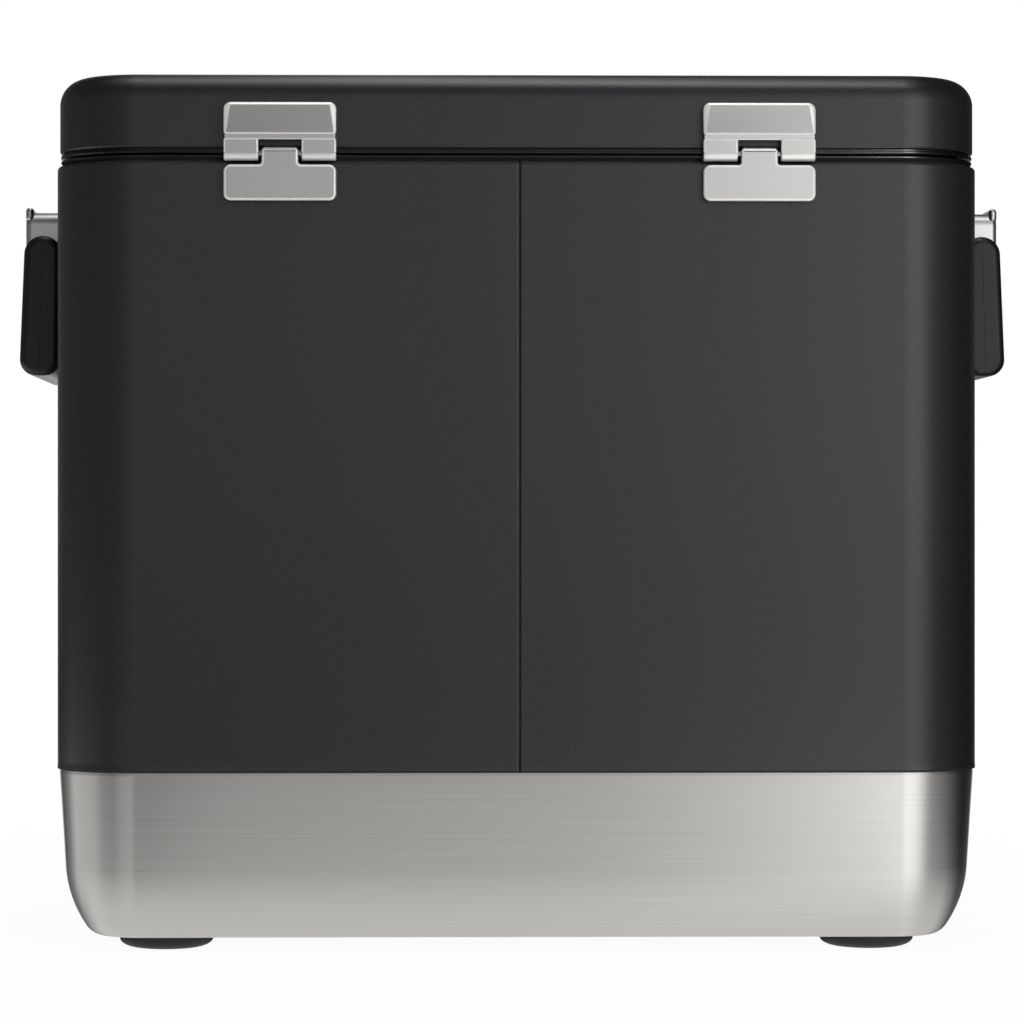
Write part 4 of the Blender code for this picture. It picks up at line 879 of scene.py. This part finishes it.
def plainly_seen(surface):
    """One for the rays that see a surface, by eye or in a reflection, and nought for light."""
    rays = node(surface, "ShaderNodeLightPath", {})
    seen = node(surface, "ShaderNodeMath", {"operation": "MAXIMUM"}, {
        0: rays.outputs["Is Camera Ray"], 1: rays.outputs["Is Glossy Ray"],
    })
    return node(surface, "ShaderNodeMath", {"operation": "MAXIMUM"}, {
        0: seen.outputs[0], 1: rays.outputs["Is Transmission Ray"],
    }).outputs[0]


floor_reach = 14
floor_white, output = new_material("white studio floor")
matt = node(floor_white, "ShaderNodeBsdfDiffuse", {"Color": linear("#f4f4f4")})
glow = node(floor_white, "ShaderNodeEmission", {"Color": (1, 1, 1, 1), "Strength": 1})
place = node(floor_white, "ShaderNodeTexCoord", {})
away = node(floor_white, "ShaderNodeVectorMath", {"operation": "LENGTH"}, {
    0: place.outputs["Object"],
})
white = node(floor_white, "ShaderNodeMapRange", {
    "From Min": 0.35, "From Max": 1.1, "To Min": 0.95, "To Max": 1.0,
}, {"Value": away.outputs["Value"]})
share = node(floor_white, "ShaderNodeMath", {"operation": "MULTIPLY"}, {
    0: plainly_seen(floor_white), 1: white.outputs["Result"],
})
blend = node(floor_white, "ShaderNodeMixShader", {}, {
    0: share.outputs[0], 1: matt.outputs[0], 2: glow.outputs[0],
})
floor_white.node_tree.links.new(blend.outputs[0], output.inputs["Surface"])
studio_sheet("studio_floor", [
    (-floor_reach, -floor_reach, 0), (floor_reach, -floor_reach, 0),
    (floor_reach, floor_reach, 0), (-floor_reach, floor_reach, 0),
], floor_white)

world = bpy.data.worlds.new("white studio")
bpy.context.scene.world = world
world.use_nodes = True
world.node_tree.nodes.clear()
sky_out = node(world, "ShaderNodeOutputWorld", {})
level = node(world, "ShaderNodeMapRange", {"To Min": 0.45, "To Max": 1.0}, {
    "Value": plainly_seen(world),
})
sky = node(world, "ShaderNodeBackground", {"Color": (1, 1, 1, 1)}, {
    "Strength": level.outputs["Result"],
})
world.node_tree.links.new(sky.outputs[0], sky_out.inputs["Surface"])


def ramp(material, value, low, high, stops):
    """A curve from a value's range through (place, level) stops. It gives half of each level,
    since a colour stop ends at 1 and the levels go up to 2."""
    share = node(material, "ShaderNodeMapRange", {"From Min": low, "From Max": high},
                 {"Value": value})
    curve = node(material, "ShaderNodeValToRGB", {}, {"Fac": share.outputs["Result"]})
    places = curve.color_ramp.elements
    places[0].position, places[1].position = 0, 1
    ends = [(places[0], stops[0][1]), (places[1], stops[-1][1])]
    ends += [(places.new((where - low) / (high - low)), level) for where, level in stops[1:-1]]
    for place, level in ends:
        place.color = (level / 2, level / 2, level / 2, 1)
    return curve.outputs["Color"]


def card(name, skin):
    """A stage card that only reflections see, with an emission of its own."""
    material, output = new_material(name)
    mesh = bpy.data.meshes.new(name)
    skin.to_mesh(mesh)
    skin.free()
    mesh.materials.append(material)
    made = bpy.data.objects.new(name, mesh)
    bpy.context.scene.collection.objects.link(made)
    made.visible_camera = False
    made.visible_diffuse = False
    made.visible_shadow = False
    made.visible_transmission = False
    made.visible_volume_scatter = False
    made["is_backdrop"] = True
    place = node(material, "ShaderNodeTexCoord", {}).outputs["Object"]
    glow = node(material, "ShaderNodeEmission", {"Color": (1, 1, 1, 1)})
    material.node_tree.links.new(glow.outputs[0], output.inputs["Surface"])
    return made, material, place, glow


def bearing(material, across, away):
    """The azimuth of a place in degrees, from +Y, the camera's side, towards +X."""
    turn = node(material, "ShaderNodeMath", {"operation": "ARCTAN2"}, {0: across, 1: away})
    turn = node(material, "ShaderNodeMath", {"operation": "DEGREES"}, {0: turn.outputs[0]})
    return turn.outputs[0]


# The dome: a wall of soft boxes and flags by azimuth, which is positive on the photograph's
# left. It fades with its height, given as a share of the dome's, and has a patch overhead.
dome_radius = 3.5
wall_levels = (
    (-180, 0.60), (-168, 0.50), (-158, 0.10), (-125, 0.02), (-99, 0.03), (-81, 0.10), (-66, 0.25),
    (-50, 0.50), (-40, 1.40), (-33, 1.98), (-13, 1.98), (-11.5, 1.40), (-10, 1.20), (-8.4, 1.10),
    (-6.5, 0.78), (-4.7, 0.72), (-1.9, 0.64), (2.4, 0.60), (4.3, 0.58), (6, 0.56), (8, 0.54),
    (12, 0.42), (16, 0.32), (28, 0.22), (41, 0.18), (62, 0.16), (107, 0.16), (124, 0.12),
    (158, 0.15), (168, 0.50), (180, 0.60),
)
height_levels = (
    (0, 0.72), (0.04, 0.90), (0.09, 1.0), (0.26, 0.9), (0.41, 0.67), (0.55, 0.45), (0.7, 0.25),
    (0.83, 0.13), (1, 0.1),
)
overhead_levels = ((0, 0), (0.92, 0), (0.975, 0.46), (1, 0.6))
wall_gain = 4
overhead_gain = 2

dome = loft(turned(arc(0, 0, dome_radius * 1000, 0.01, 89, 16), (0, 0, 0), 48))
bmesh.ops.delete(dome, geom=[f for f in dome.faces if f.calc_center_median().z < 0.01],
                 context="FACES")
material, place, glow = card("studio_cards", dome)[1:]
axes = node(material, "ShaderNodeSeparateXYZ", {}, {"Vector": place}).outputs
turn = bearing(material, axes["X"], axes["Y"])
up = node(material, "ShaderNodeMath", {"operation": "DIVIDE", 1: dome_radius}, {0: axes["Z"]})
wall = node(material, "ShaderNodeMath", {"operation": "MULTIPLY"}, {
    0: ramp(material, turn, -180, 180, wall_levels),
    1: ramp(material, up.outputs[0], 0, 1, height_levels),
})
wall = node(material, "ShaderNodeMath", {"operation": "MULTIPLY", 1: wall_gain}, {
    0: wall.outputs[0],
})
strength = node(material, "ShaderNodeMath", {"operation": "MULTIPLY_ADD", 1: overhead_gain}, {
    0: ramp(material, up.outputs[0], 0, 1, overhead_levels), 2: wall.outputs[0],
})
material.node_tree.links.new(strength.outputs[0], glow.inputs["Strength"])

# The floor as reflections see it: by azimuth from the object's foot, which turns a little
# along its width, dimmer far away and even close to the foot, where the pan mirrors it.
floor_levels = (
    (-180, 0.60), (-168, 0.50), (-158, 0.08), (-130, 0.02), (-112, 0.05), (-95, 0.15), (-76, 0.28),
    (-63, 0.38), (-55, 0.60), (-49, 0.95), (-38, 1.65), (-28, 1.98), (-19.5, 1.98), (-18.2, 1.60),
    (-17, 1.50), (-12, 1.35), (-9.2, 1.00), (-4.8, 0.68), (-2.5, 0.63),
    (2.5, 0.54), (6, 0.48), (8.4, 0.18), (11, 0.16), (15, 0.66), (30, 0.62), (42, 0.38),
    (60, 0.52), (72, 0.90), (112, 1.20), (132, 0.40), (158, 0.05), (180, 0.60),
)
footprint_low = (-0.2095, -0.13, 0)
footprint_high = (0.2095, 0.143, 0)
hub_y = 0.15
turn_by_width, turn_offset = 42.8, -1.9
near_share = 0.9
near_back, near_front = 0.93, 0.2

disc = loft(turned([(dome_radius * 1000, 0.4), (dome_radius * 1000 - 1, 0.5)], (0, 0, 0), 48))
bmesh.ops.delete(disc, geom=[f for f in disc.faces if f.calc_center_median().z < 0.49e-3],
                 context="FACES")
material, place, glow = card("floor_card", disc)[1:]
held = node(material, "ShaderNodeVectorMath", {"operation": "MINIMUM", 1: footprint_high}, {0: place})
held = node(material, "ShaderNodeVectorMath", {"operation": "MAXIMUM", 1: footprint_low}, {
    0: held.outputs[0],
})
out = node(material, "ShaderNodeVectorMath", {"operation": "SUBTRACT"}, {
    0: place, 1: held.outputs[0],
})
gap = node(material, "ShaderNodeVectorMath", {"operation": "LENGTH"}, {0: out.outputs[0]})
axes = node(material, "ShaderNodeSeparateXYZ", {}, {"Vector": place}).outputs
held_axes = node(material, "ShaderNodeSeparateXYZ", {}, {"Vector": held.outputs[0]}).outputs
out_axes = node(material, "ShaderNodeSeparateXYZ", {}, {"Vector": out.outputs[0]}).outputs
from_hub = node(material, "ShaderNodeMath", {"operation": "SUBTRACT", 1: hub_y}, {0: axes["Y"]})
spread = node(material, "ShaderNodeMath", {
    "operation": "MULTIPLY_ADD", 1: turn_by_width, 2: turn_offset,
}, {0: held_axes["X"]})
turn = node(material, "ShaderNodeMath", {"operation": "ADD"}, {
    0: bearing(material, out_axes["X"], from_hub.outputs[0]), 1: spread.outputs[0],
})
fade = node(material, "ShaderNodeMapRange", {
    "From Min": 0.8, "From Max": 1.815, "To Min": 2.0, "To Max": 0.35,
}, {"Value": gap.outputs["Value"]})
far = node(material, "ShaderNodeMath", {"operation": "MULTIPLY"}, {
    0: ramp(material, turn.outputs[0], -180, 180, floor_levels), 1: fade.outputs["Result"],
})
either_way = node(material, "ShaderNodeMath", {"operation": "ABSOLUTE"}, {0: turn.outputs[0]})
near = node(material, "ShaderNodeMapRange", {
    "From Min": 85, "From Max": 125, "To Min": near_back, "To Max": near_front,
}, {"Value": either_way.outputs[0]})
share = node(material, "ShaderNodeMapRange", {
    "From Min": 0.05, "From Max": 0.26, "To Min": near_share, "To Max": 0.0,
}, {"Value": gap.outputs["Value"]})
strength = node(material, "ShaderNodeMix", {"data_type": "FLOAT"}, {
    0: share.outputs["Result"], 2: far.outputs[0], 3: near.outputs["Result"],
})
material.node_tree.links.new(strength.outputs[0], glow.inputs["Strength"])

# A narrow strip that only the polished rim takes, as its own long highlight.
gloss_radius = 3
gloss_low, gloss_high = 0.05, 1.6
gloss_levels = ((-36, 0), (-31, 0.3), (-25, 1.5), (-20, 2), (-14, 2), (-12.5, 0.7), (-11, 0))
gloss_gain = 11

strip = bmesh.new()
bearings = [math.radians(turn) for turn in range(-36, -10)]
rows = [[strip.verts.new((gloss_radius * math.sin(turn), gloss_radius * math.cos(turn), z))
         for turn in bearings] for z in (gloss_low, gloss_high)]
for column in range(len(bearings) - 1):
    strip.faces.new((rows[0][column], rows[0][column + 1], rows[1][column + 1], rows[1][column]))
gloss_card, material, place, glow = card("gloss_card", strip)
axes = node(material, "ShaderNodeSeparateXYZ", {}, {"Vector": place}).outputs
turn = bearing(material, axes["X"], axes["Y"])
strength = node(material, "ShaderNodeMath", {"operation": "MULTIPLY", 1: gloss_gain}, {
    0: ramp(material, turn, -36, -11, gloss_levels),
})
material.node_tree.links.new(strength.outputs[0], glow.inputs["Strength"])
through = node(material, "ShaderNodeBsdfTransparent", {})
both = node(material, "ShaderNodeAddShader", {}, {0: glow.outputs[0], 1: through.outputs[0]})
output = material.node_tree.nodes["Material Output"]
material.node_tree.links.new(both.outputs[0], output.inputs["Surface"])
polished = bpy.data.collections.new("polished rim")
polished.objects.link(collar)
polished.objects.link(liner)
gloss_card.light_linking.receiver_collection = polished


def soft_box(name, azimuth, elevation, distance, width, height, power):
    """An area light aimed at the object. Azimuth is from +Y, the camera's side, towards +X."""
    light = bpy.data.lights.new(name, "AREA")
    light.shape = "RECTANGLE"
    light.size = width
    light.size_y = height
    light.energy = power
    turn, rise = math.radians(azimuth), math.radians(elevation)
    level = math.cos(rise)
    away = Vector((math.sin(turn) * level, math.cos(turn) * level, math.sin(rise)))
    lamp = bpy.data.objects.new(name, light)
    bpy.context.scene.collection.objects.link(lamp)
    lamp.location = object_middle + away * distance
    lamp.rotation_euler = (-away).to_track_quat("-Z", "Y").to_euler()
    lamp.visible_camera = False
    lamp.visible_glossy = False
    return lamp


object_middle = Vector((0, 0, 0.24))
soft_box("key_box", -30, 12, 2.6, 0.9, 2.2, 22)
soft_box("fill_box", 40, 10, 2.6, 0.6, 2.0, 6)
soft_box("top_box", 0, 85, 2.4, 2.0, 1.4, 18)
soft_box("front_box", 180, 25, 3.0, 2.0, 1.5, 24)

# The photographer's camera: a long lens 2 m from the back, slightly turned and shifted.
view = bpy.data.cameras.new("photograph")
view.lens = 130.25
view.sensor_width = 36
view.shift_x = 0.0588
view.shift_y = 0.0176
view.clip_start = 0.05
view.clip_end = 60
camera = bpy.data.objects.new("photograph", view)
camera.location = (0.0691, 2.2085, 0.2316)
camera.rotation_euler = (math.radians(90), 0, math.radians(180 - 0.91))
bpy.context.scene.collection.objects.link(camera)
bpy.context.scene.camera = camera
bpy.context.scene.view_settings.view_transform = "Standard"

low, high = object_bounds()
{"cad": [list(cad_low), list(cad_high)], "visual": [list(low), list(high)]}
